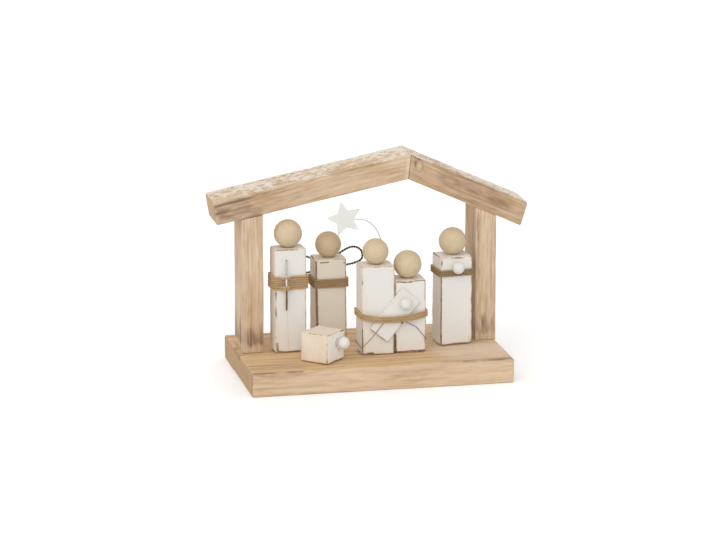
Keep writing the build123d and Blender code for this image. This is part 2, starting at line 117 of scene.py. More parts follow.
class FigureSettings(PropertyGroup):
    """Turn, wear and finish of the painted blocks and the ball heads."""

    shepherd_yaw: angle("Shepherd's turn", "Turn of the shepherd about the vertical", 4.0)
    angel_yaw: angle("Angel's turn", "Turn of the angel about the vertical", 2.0)
    family_yaw: angle("Family's turn", "Turn of the tied family about the vertical", 1.5)
    king_yaw: angle("King's turn", "Turn of the king about the vertical", 5.0)
    lamb_yaw: angle("Lamb's turn", "Turn of the lamb about the vertical", -45.0)
    infant_tilt: angle("Infant's tilt", "Lean of the infant's board from the level", 50.2)
    edge_radius: length("Edge radius", "Mean rounding of the blocks' worn edges", 0.0021)
    wear_width: length("Wear width", "How far wear can reach in from an edge", 0.0040)
    dent_depth: length("Dent depth", "Slow unevenness of the blocks' faces", 0.0003)
    white_paint: colour("White paint", "Chalky paint of most blocks", (0.778, 0.755, 0.712))
    beige_paint: colour("Beige paint", "Chalky paint of the angel", (0.738, 0.680, 0.562))
    # The cream is partly painted light: lighter than the lamb's paint, so that its dimly lit right face looks
    # bright.
    cream_paint: colour("Cream paint", "Chalky paint of the lamb", (0.85, 0.81, 0.745))
    # The thin paint also colours the blocks' sides and tops as painted shade and warm bounce light.
    thin_paint: colour("Thin paint", "Paint where the wood shows through", (0.74, 0.60, 0.445))
    worn_wood: colour("Worn wood", "Bare stained wood at the edges", (0.145, 0.078, 0.040))
    ball_light: colour("Ball, light", "Turned beech between its streaks", (0.635, 0.508, 0.328))
    ball_dark: colour("Ball, dark", "Streaks of the turned beech", (0.505, 0.365, 0.218))
    twig_light: colour("Twig, light", "Pale bark of the staff", (0.60, 0.58, 0.52))
    twig_dark: colour("Twig, dark", "Grey bark of the staff", (0.42, 0.39, 0.33))


class TwineSettings(PropertyGroup):
    """The wound twine, the thin thread and the staff under the belt."""

    diameter: length("Twine diameter", "Thickness of the laid twine", 0.0022)
    pitch: length("Pitch", "Height from one turn to the next", 0.00265)
    clearance: length("Clearance", "Gap between the twine and the block", 0.0002)
    corner_radius: length("Corner radius", "Bend of the twine round a block's edge", 0.0027)
    lay: length("Lay", "Length in which the plies go once round", 0.0074)
    plies: IntProperty(name="Plies", description="Strands laid together", default=3, min=2, max=4)
    family_rise: length("Family rise", "How far the family's twine is pushed up", 0.0013)
    family_sag: length("Family sag", "How much lower the family's twine lies in its middle", 0.0036)
    staff_lift: length("Staff lift", "How far the belt bridges out over the staff", 0.0046)
    infant_lift: length("Infant lift", "How far the twine stands out over the infant's board", 0.0051)
    thread_diameter: length("Thread diameter", "Thickness of the thin thread", 0.0008)
    fibre_length: length("Fibre length", "Length of the stray fibres", 0.0042)
    light_jute: colour("Light jute", "Twine on its outer fibres", (0.63, 0.42, 0.215))
    # Shaded jute is painted shade: the twine's colour between its plies, where little light gets in.
    shaded_jute: colour("Dark jute", "Twine between its plies", (0.24, 0.145, 0.070))
    thread_brown: colour("Thread", "Thin thread", (0.27, 0.19, 0.13))


class WireSettings(PropertyGroup):
    """The angel's wire wings, and the star on its wire."""

    wing_reach: length("Wing reach", "Length of a wing loop from its root", 0.0413)
    wing_rise: length("Wing rise", "Height that the loop's shares are taken of", 0.014)
    right_root_drop: length("Right root drop", "Depth of the right wing's root below the block's top", 0.011)
    left_root_drop: length("Left root drop", "Depth of the left wing's root below the block's top", 0.0132)
    left_droop: length("Left droop", "How far the left wing's far end hangs", 0.0146)
    root_spread: length("Root spread", "Distance of a root from the middle of the back", 0.006)
    root_stand: length("Root stand", "Distance of the loop from the back", 0.0045)
    socket_depth: length("Socket depth", "How far the wire's ends go into the block", 0.006)
    right_sweep: angle("Right sweep", "How far the right wing is swept back", 15.0)
    left_sweep: angle("Left sweep", "How far the left wing is swept back", 66.0)
    strand_diameter: length("Strand diameter", "Thickness of each wire of the twisted pair", 0.00118)
    twist: length("Twist", "Length in which the pair goes once round", 0.0064)
    star_radius: length("Star radius", "Distance of the star's tips from its middle", 0.020)
    star_inner_share: amount("Inner share", "Star's inner corners as a share of its tips", 0.48, "FACTOR")
    star_turn: angle("Star's turn", "Turn of the star from upright", 13.6)
    dark_wire: colour("Dark wire", "Wing wire", (0.078, 0.045, 0.028))
    rust_wire: colour("Rusty wire", "Worn spots of the wing wire", (0.17, 0.098, 0.058))
    star_paint: colour("Star paint", "Smooth paint of the star", (0.755, 0.757, 0.710))
    bright_wire: colour("Bright wire", "Wire of the star", (0.72, 0.72, 0.70))
    steel: colour("Steel", "Screws under the base", (0.45, 0.45, 0.46))


class StageSettings(PropertyGroup):
    """The camera, the light and the floor."""

    camera_place: triple("Camera", "Place of the camera", (-0.8297, -3.7972, 1.0691), "TRANSLATION")
    camera_target: triple("Target", "Point that the camera looks at", (-0.01099, 0.0, 0.11464), "TRANSLATION")
    focal_pixels: amount("Focal length", "Focal length in pixels of the photograph", 3642.5)
    key_strength: amount("Key light", "Sun from the front", 0.97)
    key_direction: triple("Key direction", "Where the key light is", (-0.30, -0.74, 0.60), "DIRECTION")
    back_strength: amount("Back light", "Weak sun from behind", 0.30)
    back_direction: triple("Back direction", "Where the back light is", (0.4, 0.75, 0.6), "DIRECTION")
    side_strength: amount("Side light", "Weak sun from the left", 0.24)
    side_direction: triple("Side direction", "Where the side light is", (-0.85, -0.12, 0.50), "DIRECTION")
    spread: angle("Spread", "Softness of the three suns", 60.0)
    sky_strength: amount("Sky", "Level light from all round", 0.73)
    floor_colour: colour("Floor", "Pale floor", (0.93, 0.93, 0.93))
    floor_lift: amount("Floor lift", "Glow that brings the floor to white", 0.16)
    floor_reach: length("Floor reach", "Distance of the floor's sides from its middle", 30.0)


def settings_of(context, name):
    """The scene's settings of one kind."""
    return getattr(context.scene, "stable_" + name)


# Numbers and fields on arrays

HASH_MASK = 0xFFFFFFFF
HASH_PRIMES = (374761393, 668265263, 1103515245, 1274126177)
HASH_LEVELS = 0xFFFF
HASH_SHIFTS = (13, 16)
SHORTEST_RUN = 1e-12


def smooth(low, high, value):
    """Smooth step: 0 at low, 1 at high, with t squared times (3 - 2t) between them."""
    share = np.clip((value - low) / (high - low), 0.0, 1.0)
    return share * share * (3.0 - 2.0 * share)


def bump_at(place, width, value):
    """A rounded bump: exp of minus the square of the distance from its place in widths."""
    return np.exp(-(((value - place) / width) ** 2))


def lattice_noise(points, seed):
    """Value noise from -1 to 1: hashed numbers at whole-number lattice points, blended by smooth steps."""
    cell = np.floor(points).astype(np.int64)
    share = smooth(0.0, 1.0, points - cell)
    total = np.zeros(points.shape[:-1])
    for corner in np.ndindex(2, 2, 2):
        key = (cell + corner) @ np.array(HASH_PRIMES[:3]) + seed * HASH_PRIMES[3]
        key = key & HASH_MASK
        key = ((key ^ (key >> HASH_SHIFTS[0])) * HASH_PRIMES[3]) & HASH_MASK
        level = ((key ^ (key >> HASH_SHIFTS[1])) & HASH_LEVELS) * (2.0 / HASH_LEVELS) - 1.0
        total += level * np.prod(np.where(corner, share, 1.0 - share), axis=-1)
    return total


def fractal_noise(points, seed, octaves=3):
    """Noise of several sizes: each octave has half the size and half the height of the one before."""
    layers = [lattice_noise(points * 2**octave, seed + octave) / 2**octave for octave in range(octaves)]
    return np.sum(layers, axis=0)


def scaled(points, *sizes):
    """Points counted in cells of one size, or of a size for each axis."""
    return points / np.array(sizes)


def on_line(places):
    """Places as points on the first axis."""
    return np.stack([places, places * 0, places * 0], axis=-1)


def unit(vectors):
    """Vectors of length 1 in the same directions."""
    return vectors / np.linalg.norm(vectors, axis=-1, keepdims=True)


def circle(first, second, sides):
    """Directions round a circle: cos a first + sin a second, for one pair of directions or for many."""
    turn = np.linspace(0.0, math.tau, sides, endpoint=False)[:, None]
    return np.cos(turn) * first[..., None, :] + np.sin(turn) * second[..., None, :]


def strokes(points, size, marks):
    """Marks on a piece: the strongest of strength times exp of minus the square of the distance in widths.

    A mark is a run from a start to an end, both in shares of half the piece's sides, a width and a strength,
    and the distance is from the point to that run.
    """
    total = np.zeros(len(points))
    for start, end, width, strength in marks:
        start, end = np.array(start) * size / 2, np.array(end) * size / 2
        run = end - start
        share = np.clip((points - start) @ run / max(run @ run, SHORTEST_RUN), 0.0, 1.0)
        gap = np.linalg.norm(points - start - share[:, None] * run, axis=1)
        mark = strength * bump_at(0.0, width, gap)
        total = np.where(np.abs(mark) > np.abs(total), mark, total)
    return total


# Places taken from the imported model


def node_points(*nodes):
    """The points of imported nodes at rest, as one array."""
    found = []
    for node in nodes:
        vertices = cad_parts[node].data.vertices
        points = np.empty(len(vertices) * 3)
        vertices.foreach_get("co", points)
        found.append(points.reshape(-1, 3))
    return np.concatenate(found)


def box_corners(node):
    """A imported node's lowest and highest corners at rest, as arrays."""
    return [np.array(corner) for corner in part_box(node)]


def turned_box(axes, *nodes):
    """Centre and size of the smallest box round some nodes with its sides along the rows of axes."""
    along = node_points(*nodes) @ axes.T
    low, high = along.min(axis=0), along.max(axis=0)
    return (low + high) / 2 @ axes, high - low


def upright_axes(yaw):
    """Rows for right, back and up, turned about the vertical."""
    cosine, sine = math.cos(yaw), math.sin(yaw)
    return np.array([[cosine, sine, 0.0], [-sine, cosine, 0.0], UP])


def standing_axes(yaw):
    """Rows for up, right and back, so that the first axis runs up the grain of a standing block."""
    right, back, up = upright_axes(yaw)
    return np.array([up, right, back])


# Surfaces


def box_shell(steps):
    """Surface of a box cut into steps cells a side: its whole-number lattice points and its quads.

    Each face is a grid, and points on shared edges are joined by their number in the whole lattice.
    """
    strides = np.array([(steps[1] + 1) * (steps[2] + 1), steps[2] + 1, 1])
    quads = []
    for axis in range(3):
        first, second = (axis + 1) % 3, (axis + 2) % 3
        row, column = np.meshgrid(np.arange(steps[first]), np.arange(steps[second]), indexing="ij")
        corner = row * strides[first] + column * strides[second]
        offsets = (0, strides[first], strides[first] + strides[second], strides[second])
        ring = np.stack([corner + offset for offset in offsets], axis=-1).reshape(-1, 4)
        quads += [ring[:, ::-1], ring + steps[axis] * strides[axis]]
    keys, faces = np.unique(np.concatenate(quads), return_inverse=True)
    lattice = np.stack(np.unravel_index(keys, [step + 1 for step in steps]), axis=-1)
    return lattice, faces.reshape(-1, 4)


def side_places(side, zone, pitch, edge_steps):
    """Places from minus to plus half a side: edge_steps in the zone at each end, and even steps between."""
    half = side / 2
    inner_steps = max(2, math.ceil((side - 2 * zone) / pitch))
    return np.concatenate([
        np.linspace(-half, zone - half, edge_steps, endpoint=False),
        np.linspace(zone - half, half - zone, inner_steps, endpoint=False),
        np.linspace(half - zone, half, edge_steps + 1),
    ])


def worn_box(size, zone, pitches, edge_steps, radius_at):
    """A box with rounded edges of varying radius.

    A point p of the box is drawn back to the core, p clamped to half the size less the radius r, and set at
    core + r n, where n is the direction from the core to p. Returns the points, n, the quads and p.
    """
    sides = [side_places(side, zone, pitch, edge_steps) for side, pitch in zip(size, pitches)]
    lattice, quads = box_shell([len(side) - 1 for side in sides])
    square = np.stack([side[lattice[:, axis]] for axis, side in enumerate(sides)], axis=-1)
    half = np.array(size) / 2
    radius = radius_at(square)[:, None]
    core = np.clip(square, radius - half, half - radius)
    normal = unit(square - core)
    return core + radius * normal, normal, quads, square


def edge_gap(square, size):
    """Distance of points on a box from the nearest edge: the middle one of three gaps to the faces."""
    return np.sort(np.array(size) / 2 - np.abs(square), axis=1)[:, 1]


def revolve(profile, centre, axes, sides):
    """A profile of (radius, height) turned about the third axis, with a pole at each end of the profile."""
    ring = circle(axes[0], axes[1], sides)
    rings = profile[1:-1, 0, None, None] * ring + profile[1:-1, 1, None, None] * axes[2]
    poles = profile[[0, -1], 1, None] * axes[2]
    points = np.concatenate([rings.reshape(-1, 3), poles]) + centre
    return points, ring_faces(len(profile) - 2, sides)


def ring_faces(rings, sides):
    """Quads between rings of points, and a fan from each end ring to its pole. The poles follow the rings."""
    index = np.arange(rings * sides).reshape(rings, sides)
    beside = np.roll(index, -1, axis=1)
    quads = np.stack([index[:-1], index[1:], beside[1:], beside[:-1]], axis=-1).reshape(-1, 4)
    first = np.stack([np.full(sides, rings * sides), index[0], beside[0]], axis=-1)
    last = np.stack([np.full(sides, rings * sides + 1), beside[-1], index[-1]], axis=-1)
    return [quads, np.concatenate([first, last])]


def path_frame(path, reference):
    """Unit tangent of a path, and two normals made square to it from a reference direction."""
    tangent = unit(np.gradient(path, axis=0))
    normal = unit(reference - (tangent @ reference)[:, None] * tangent)
    return tangent, normal, np.cross(tangent, normal)


def tube(path, normal, binormal, radius, sides):
    """A tube: round each point of a path, radius times (cos a normal + sin a binormal), with closed ends."""
    ring = circle(normal, binormal, sides)
    rings = path[:, None, :] + np.broadcast_to(radius, len(path))[:, None, None] * ring
    points = np.concatenate([rings.reshape(-1, 3), path[[0, -1]]])
    quads, fans = ring_faces(len(path), sides)
    return points, [quads[:, ::-1], fans[:, ::-1]]


def path_length(path):
    """Distance along a path up to each of its points."""
    steps = np.linalg.norm(np.diff(path, axis=0), axis=1)
    return np.concatenate([[0.0], np.cumsum(steps)])


def even_path(path, step):
    """The same path with points at even steps along it."""
    along = path_length(path)
    places = np.linspace(0.0, along[-1], max(3, round(along[-1] / step)))
    return np.stack([np.interp(places, along, path[:, axis]) for axis in range(3)], axis=-1)


def softened(path, count):
    """A path whose points are running means of count neighbours, with its two ends kept."""
    padded = np.concatenate([path[:1].repeat(count // 2, 0), path, path[-1:].repeat(count // 2, 0)])
    kernel = np.full(count, 1.0 / count)
    mean = np.stack([np.convolve(padded[:, axis], kernel, "valid") for axis in range(3)], axis=-1)
    share = np.minimum(np.arange(len(path)), np.arange(len(path))[::-1]) / count
    return path + np.clip(share, 0.0, 1.0)[:, None] * (mean[: len(path)] - path)


SPLINE_STEPS = 24


def spline(points, step):
    """Quadratic B-spline through the middles of the runs between points, from the first point to the last."""
    ends = [2 * points[0] - points[1], 2 * points[-1] - points[-2]]
    held = np.concatenate([ends[:1], points, ends[1:]])
    share = np.linspace(0.0, 1.0, SPLINE_STEPS, endpoint=False)[:, None]
    runs = [
        ((1 - share) ** 2 * before + (1 + 2 * share - 2 * share**2) * here + share**2 * after) / 2
        for before, here, after in zip(held, held[1:], held[2:])
    ]
    return even_path(np.concatenate([*runs, points[-1:]]), step)


def joined(*surfaces):
    """Several surfaces as one. Each has its points and a list of its quads and its triangles."""
    starts = np.cumsum([0] + [len(points) for points, _ in surfaces])
    shifted = [[group + start for group in faces] for (_, faces), start in zip(surfaces, starts)]
    points = np.concatenate([points for points, _ in surfaces])
    return points, [np.concatenate(groups) for groups in zip(*shifted)]


def extended(values, count, value):
    """A field with one value for each of count points that were joined on."""
    return np.concatenate([values, np.full(count, value)])


# A strand's thickness varies by this share, so many times in one lay, and its turn wanders with it. Its
# fullness is its thickness over the one at which strands just touch.
STRAND_UNEVEN = 0.10
STRAND_CHANGES = 1.7
STRAND_WANDER = 0.5
STRAND_FULLNESS = 1.06


def laid_strands(path, reference, strands, diameter, lay, sides, seed):
    """Strands laid round a path: strand k is a tube about path + R (cos a n + sin a b).

    Here a = 2 pi (s / lay + k / strands), s is the distance along the path, and R leaves the strands
    touching inside the diameter. Returns the points, the faces and, for each point, the distance along the
    path and how far out of its middle the point lies.
    """
    along = path_length(path)
    _, normal, binormal = path_frame(path, reference)
    packed = 1.0 / math.sin(math.pi / strands)
    thickness = diameter / 2 / (1.0 + packed)
    uneven = 1.0 + STRAND_UNEVEN * lattice_noise(on_line(along / lay * STRAND_CHANGES), seed)
    middle = np.concatenate([path.repeat(sides, 0), path[[0, -1]]])
    surfaces, out, reach = [], [], []
    for strand in range(strands):
        turn = math.tau * (along / lay + strand / strands) + STRAND_WANDER * (uneven - 1.0)
        away = np.cos(turn)[:, None] * normal + np.sin(turn)[:, None] * binormal
        centre = path + thickness * packed * away
        points, faces = tube(centre, normal, binormal, thickness * uneven * STRAND_FULLNESS, sides)
        surfaces.append((points, faces))
        out.append(np.linalg.norm(points - middle, axis=1) / (diameter / 2))
        reach.append(np.concatenate([along.repeat(sides), along[[0, -1]]]) + strand * lay)
    return *joined(*surfaces), np.concatenate(reach), np.concatenate(out)


# Points along a stray fibre, its sides, its least length as a share, the most that it leans, and its taper.
FIBRE_POINTS = 4
FIBRE_SIDES = 3
FIBRE_SHORTEST = 0.35
FIBRE_LEAN = 1.6
FIBRE_TAPER = 0.7
# Where a fibre starts as a share of the twine's radius, and how far it goes outward, along and sideways.
FIBRE_START = 0.7
FIBRE_COURSE = (0.55, 0.9, 0.5)


def stray_fibres(path, reference, radius, count, reach, thickness, seed):
    """Short fibres that leave a path sideways, as thin three-sided tubes.

    A fibre is start + size (t (outward out + along lean tangent) + t^2 sideways lean side), with t from 0 to
    1. Its out and its side are square to the path's tangent.
    """
    draw = np.random.default_rng(seed)
    tangent, normal, binormal = path_frame(path, reference)
    at = draw.integers(2, len(path) - 2, count)
    turn = draw.uniform(0.0, math.tau, count)[:, None]
    out = np.cos(turn) * normal[at] + np.sin(turn) * binormal[at]
    lean = draw.uniform(-FIBRE_LEAN, FIBRE_LEAN, count)[:, None]
    share = np.linspace(0.0, 1.0, FIBRE_POINTS)
    size = reach * draw.uniform(FIBRE_SHORTEST, 1.0, count)[:, None]
    outward, along, sideways = FIBRE_COURSE
    start = path[at] + FIBRE_START * radius * out
    line = start[:, None] + (size * share)[..., None] * (outward * out + along * lean * tangent[at])[:, None]
    line = line + (size * share**2)[..., None] * (sideways * lean * np.cross(out, tangent[at]))[:, None]
    ring = circle(tangent[at], binormal[at], FIBRE_SIDES)
    rings = line[:, :, None] + (thickness * (1.0 - FIBRE_TAPER * share))[None, :, None, None] * ring[:, None]
    index = np.arange(count * FIBRE_POINTS * FIBRE_SIDES).reshape(count, FIBRE_POINTS, FIBRE_SIDES)
    beside = np.roll(index, -1, axis=2)
    quads = np.stack([index[:, :-1], beside[:, :-1], beside[:, 1:], index[:, 1:]], axis=-1).reshape(-1, 4)
    fans = np.concatenate([index[:, 0, ::-1], index[:, -1]])
    return rings.reshape(-1, 3), [quads, fans]


def add_piece(name, points, faces, body, slot, material, replaces=(), **fields):
    """Make an object from points and faces, and put it on its body.

    Its fields become attributes. Each is an array with a row for each point, or one number for all of them.
    """
    groups = faces if isinstance(faces, list) else [faces]
    corners = np.concatenate([group.ravel() for group in groups])
    sides = np.concatenate([np.full(len(group), group.shape[1]) for group in groups])
    mesh = bpy.data.meshes.new(name)
    mesh.vertices.add(len(points))
    mesh.vertices.foreach_set("co", points.astype(np.float32).ravel())
    mesh.loops.add(len(corners))
    mesh.loops.foreach_set("vertex_index", corners.astype(np.int32))
    mesh.polygons.add(len(sides))
    mesh.polygons.foreach_set("loop_start", (np.cumsum(sides) - sides).astype(np.int32))
    mesh.update(calc_edges=True)
    if mesh.validate():
        raise RuntimeError(f"{name}: the mesh had faults")
    for field, values in fields.items():
        values = np.broadcast_to(values, len(points)) if np.ndim(values) == 0 else values
        kind, key = ("FLOAT", "value") if values.ndim == 1 else ("FLOAT_VECTOR", "vector")
        attribute = mesh.attributes.new(field, kind, "POINT")
        attribute.data.foreach_set(key, values.astype(np.float32).ravel())
    mesh.shade_smooth()
    mesh.materials.append(material)
    piece = bpy.data.objects.new(name, mesh)
    bpy.context.scene.collection.objects.link(piece)
    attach(piece, body)
    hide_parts(*replaces)


# Shader maths


def both_ways(operation):
    """An operator's method and its reflected form, which add one Math node."""

    def plain(self, other):
        return self.finish.node("ShaderNodeMath", {"operation": operation}, {0: self, 1: other})

    def reflected(self, other):
        return self.finish.node("ShaderNodeMath", {"operation": operation}, {0: other, 1: self})

    return plain, reflected


class Tap:
    """One output of a node: arithmetic on it adds Math nodes."""

    def __init__(self, finish, socket):
        self.finish = finish
        self.socket = socket

    __add__, __radd__ = both_ways("ADD")
    __sub__, __rsub__ = both_ways("SUBTRACT")
    __mul__, __rmul__ = both_ways("MULTIPLY")
    __pow__, __rpow__ = both_ways("POWER")


class Finish:
    """A material, or the world, whose nodes come from expressions."""

    def __init__(self, name, tree=None):
        self.material = None
        if tree is None:
            self.material = bpy.data.materials.new(name)
            self.material.use_nodes = True
            tree = self.material.node_tree
        self.tree = tree
        tree.nodes.clear()

    def node(self, kind, settings=None, sockets=None, output=0):
        """Add a node: its settings are set first, then values or links by socket number or identifier."""
        made = self.tree.nodes.new(kind)
        for key, value in (settings or {}).items():
            setattr(made, key, value)
        for key, value in (sockets or {}).items():
            entry = self.find(made.inputs, key)
            if isinstance(value, Tap):
                self.tree.links.new(value.socket, entry)
            elif entry.type == "RGBA":
                entry.default_value = (*tuple(value)[:3], 1.0)
            else:
                entry.default_value = value
        return Tap(self, self.find(made.outputs, output)) if made.outputs else made

    @staticmethod
    def find(sockets, key):
        """A socket by its number or its identifier."""
        return sockets[key] if isinstance(key, int) else next(s for s in sockets if s.identifier == key)

    def field(self, name, output="Fac"):
        """A mesh attribute, as a number or a vector."""
        return self.node("ShaderNodeAttribute", {"attribute_name": name}, None, output)

    def place(self):
        """Object coordinates."""
        return self.node("ShaderNodeTexCoord", None, None, "Object")

    def stretch(self, vector, *factors):
        """A vector times a factor along each axis."""
        return self.node("ShaderNodeVectorMath", {"operation": "MULTIPLY"}, {0: vector, 1: factors})

    def noise(self, vector, scale, detail=2.0, roughness=0.5):
        """Noise of about 0 to 1 round a half."""
        sockets = {"Vector": vector, "Scale": scale, "Detail": detail, "Roughness": roughness}
        return self.node("ShaderNodeTexNoise", None, sockets)

    def grained(self, grain, along, across, detail=2.0, roughness=0.5):
        """Noise with so many cells to the metre along the grain and across it."""
        return self.noise(self.stretch(grain, along, across, across), 1.0, detail, roughness)

    def step(self, value, low, high):
        """Smooth step of a value from 0 at low to 1 at high."""
        sockets = {"Value": value, "From Min": low, "From Max": high}
        return self.node("ShaderNodeMapRange", {"interpolation_type": "SMOOTHSTEP"}, sockets)

    def mix(self, share, first, second):
        """A colour between two colours."""
        sockets = {"Factor_Float": share, "A_Color": first, "B_Color": second}
        return self.node("ShaderNodeMix", {"data_type": "RGBA"}, sockets, "Result_Color")

    def parts(self, vector):
        """The three numbers of a vector."""
        split = self.node("ShaderNodeSeparateXYZ", None, {0: vector}).socket.node
        return [Tap(self, output) for output in split.outputs]

    def relief(self, height, distance, strength=1.0):
        """A normal from a height field."""
        sockets = {"Height": height, "Distance": distance, "Strength": strength}
        return self.node("ShaderNodeBump", None, sockets)

    def surface(self, **sockets):
        """End the material in a Principled shader with these values or links."""
        named = {key.replace("_", " "): value for key, value in sockets.items()}
        shader = self.node("ShaderNodeBsdfPrincipled", None, named)
        self.node("ShaderNodeOutputMaterial", None, {"Surface": shader})
        return self.material


def darker(tint, share):
    """A colour with each channel times a share."""
    return tuple(share * channel for channel in tint)


FIBRE_STRETCH = 26.0


def grain_fields(finish, ring_count, fibre_scale):
    """Rings, streaks, fine fibres and blotches of wood. The first axis of its field runs along the grain."""
    grain = finish.field("grain", "Vector")
    along, across, through = finish.parts(grain)
    sway = finish.grained(grain, 5.0, 22.0, 1.0)
    radius = (across * across + through * through) ** 0.5
    rings = radius * ring_count + sway * 5.0 + along * 1.5
    ring = finish.node("ShaderNodeMath", {"operation": "SINE"}, {0: rings * math.tau})
    late = finish.step(ring, 0.15, 1.0)
    streak = finish.grained(grain, 9.0, 210.0, 3.0)
    fibre = finish.grained(grain, fibre_scale / FIBRE_STRETCH, fibre_scale)
    blotch = finish.grained(grain, 16.0, 34.0)
    return late, streak, fibre, blotch


def stable_wood(settings):
    """Brushed softwood with darker rings, burnt stains and chipped snow paint."""
    finish = Finish("stable_wood")
    late, streak, fibre, blotch = grain_fields(finish, 300.0, 1300.0)
    burn, snow, end, tone, honey = (finish.field(name) for name in ("burn", "snow", "end", "tone", "honey"))
    grain = finish.field("grain", "Vector")
    hue = finish.grained(grain, 16.0, 130.0)
    fleck = finish.grained(grain, 60.0, 380.0, 3.0, 0.6)
    dark = tone + late * 0.20 + finish.step(streak, 0.36, 0.70) * 0.34
    dark = dark + finish.step(blotch, 0.38, 0.7) * 0.30
    dark = dark + (finish.step(fleck, 0.30, 0.70) - 0.5) * 0.38 - 0.10
    wood = finish.mix(finish.step(dark, -0.1, 1.1), settings.light_wood, settings.dark_wood)
    wood = finish.mix(finish.step(hue, 0.42, 0.70) * 0.55, wood, settings.rose_wood)
    vein = finish.grained(grain, 4.0, 230.0, 3.0)
    gold = dark * 0.8 + finish.step(vein, 0.47, 0.68) * 0.95
    gold = finish.mix(finish.step(gold, 0.1, 1.1), settings.honey_wood, settings.dark_wood)
    wood = finish.mix(honey, wood, gold)
    wood = finish.mix(finish.step(fibre, 0.5, 0.8) * 0.24, wood, settings.dark_wood)
    wood = finish.mix(end, wood, settings.dark_wood)
    # Pale marks lighten the wood; at the mitre this is partly painted light.
    pale = finish.step(0.0 - burn, 0.05, 0.9)
    wood = finish.mix(pale, wood, settings.light_wood)
    burnt = burn * (finish.step(streak + fleck * 0.6, 0.50, 1.05) * 0.65 + 0.45)
    wood = finish.mix(finish.step(burnt, 0.02, 0.98), wood, settings.burnt_wood)
    crumble = finish.grained(grain, 330.0, 430.0, 3.0, 0.65)
    flakes = finish.step(snow * 0.9 + (crumble - 0.5) * 1.7 + (fleck - 0.5) * 0.6, 0.24, 0.74)
    flakes = flakes * finish.step(snow, 0.0, 0.2)
    chalk = finish.mix(finish.step(fleck, 0.35, 0.75) * 0.5, settings.snow_paint, settings.light_wood)
    coat = finish.mix(flakes * 0.88, wood, chalk)
    height = fibre * 0.5 - late * 0.35 + streak * 0.4 + flakes * 0.9
    return finish.surface(
        Base_Color=coat,
        Roughness=0.78 - flakes * 0.12 + (fibre - 0.5) * 0.2,
        Normal=finish.relief(height, 0.0004, 0.55),
    )


def painted_wood(name, paint, settings):
    """Chalky paint, thin on the sides and tops, where that is partly painted shade and warm bounce light, and
    worn through to stained wood at the edges.
    """
    finish = Finish(name)
    grain = finish.field("grain", "Vector")
    edge, side = finish.field("edge"), finish.field("side")
    patch = finish.noise(grain, 120.0, 3.0, 0.6)
    grit = finish.noise(grain, 620.0, 3.0, 0.6)
    brush = finish.grained(grain, 22.0, 420.0)
    cloud = finish.grained(grain, 18.0, 46.0)
    wear = edge + (patch - 0.5) * 0.85 + (grit - 0.5) * 0.40
    worn = finish.step(wear, 0.56, 0.76)
    # The side field is partly painted light: thin, warm paint as shade and bounce light on the sides and
    # tops.
    thin = side + finish.step(brush, 0.5, 0.85) * 0.14 + (finish.step(cloud, 0.35, 0.75) - 0.5) * 0.22
    coat = finish.mix(finish.step(thin, 0.0, 1.0), paint, settings.thin_paint)
    coat = finish.mix(finish.step(wear, 0.22, 0.58) * 0.6, coat, settings.thin_paint)
    coat = finish.mix(finish.field("shade"), coat, darker(paint, 0.5))
    bare = finish.mix(finish.step(grit, 0.40, 0.75) * 0.5, settings.worn_wood, settings.thin_paint)
    return finish.surface(
        Base_Color=finish.mix(worn, coat, bare),
        Roughness=0.66 + worn * 0.16 + (grit - 0.5) * 0.2,
        Normal=finish.relief(brush * 0.5 + grit * 0.35 - worn * 0.9, 0.0003, 0.5),
    )


def turned_beech(settings):
    """Fine pale beech with faint streaks, darker from ball to ball by tone, and on the angel's head by
    painted shade.
    """
    finish = Finish("turned_beech")
    late, streak, fibre, blotch = grain_fields(finish, 420.0, 1500.0)
    # tint darkens a ball: tone for most heads, painted shade from the roof for the angel's.
    tint = finish.field("tint")
    dark = tint + late * 0.20 + finish.step(streak, 0.42, 0.75) * 0.24
    dark = dark + finish.step(blotch, 0.45, 0.8) * 0.2
    wood = finish.mix(dark, settings.ball_light, settings.ball_dark)
    wood = finish.mix(finish.step(fibre, 0.55, 0.85) * 0.2, wood, settings.ball_dark)
    return finish.surface(
        Base_Color=wood,
        Roughness=0.58 + (fibre - 0.5) * 0.2,
        Normal=finish.relief(fibre - late * 0.3, 0.00018, 0.4),
    )


def jute(name, light, dark):
    """Fibrous strands, with painted shade that darkens them between the plies."""
    finish = Finish(name)
    along, out, tint = (finish.field(field) for field in ("along", "out", "tint"))
    fibre = finish.noise(finish.stretch(finish.place(), 1.0, 1.0, 1.6), 2100.0, 3.0, 0.6)
    slub = finish.noise(finish.node("ShaderNodeCombineXYZ", None, {0: along * 90.0}), 1.0, 2.0)
    # Painted shade: the twine darkens towards its middle, between the plies.
    shade = finish.step(out + (fibre - 0.5) * 0.5 + (slub - 0.5) * 0.3, 0.35, 1.02)
    # tint darkens a whole twine: by its tone, and for a twine in the roof's shadow by painted shade.
    return finish.surface(
        Base_Color=finish.mix(shade * tint, dark, light),
        Roughness=0.86 + (fibre - 0.5) * 0.15,
        Normal=finish.relief(fibre, 0.0002, 0.6),
    )


def twisted_wire(settings):
    """Nearly black wire with worn rusty spots."""
    finish = Finish("wing_wire")
    spots = finish.noise(finish.place(), 520.0, 3.0, 0.6)
    rust = finish.step(spots, 0.52, 0.75)
    return finish.surface(
        Base_Color=finish.mix(rust, settings.dark_wire, settings.rust_wire),
        Roughness=0.52 + rust * 0.30,
        Metallic=0.22 - rust * 0.20,
        Normal=finish.relief(spots, 0.00012, 0.5),
    )


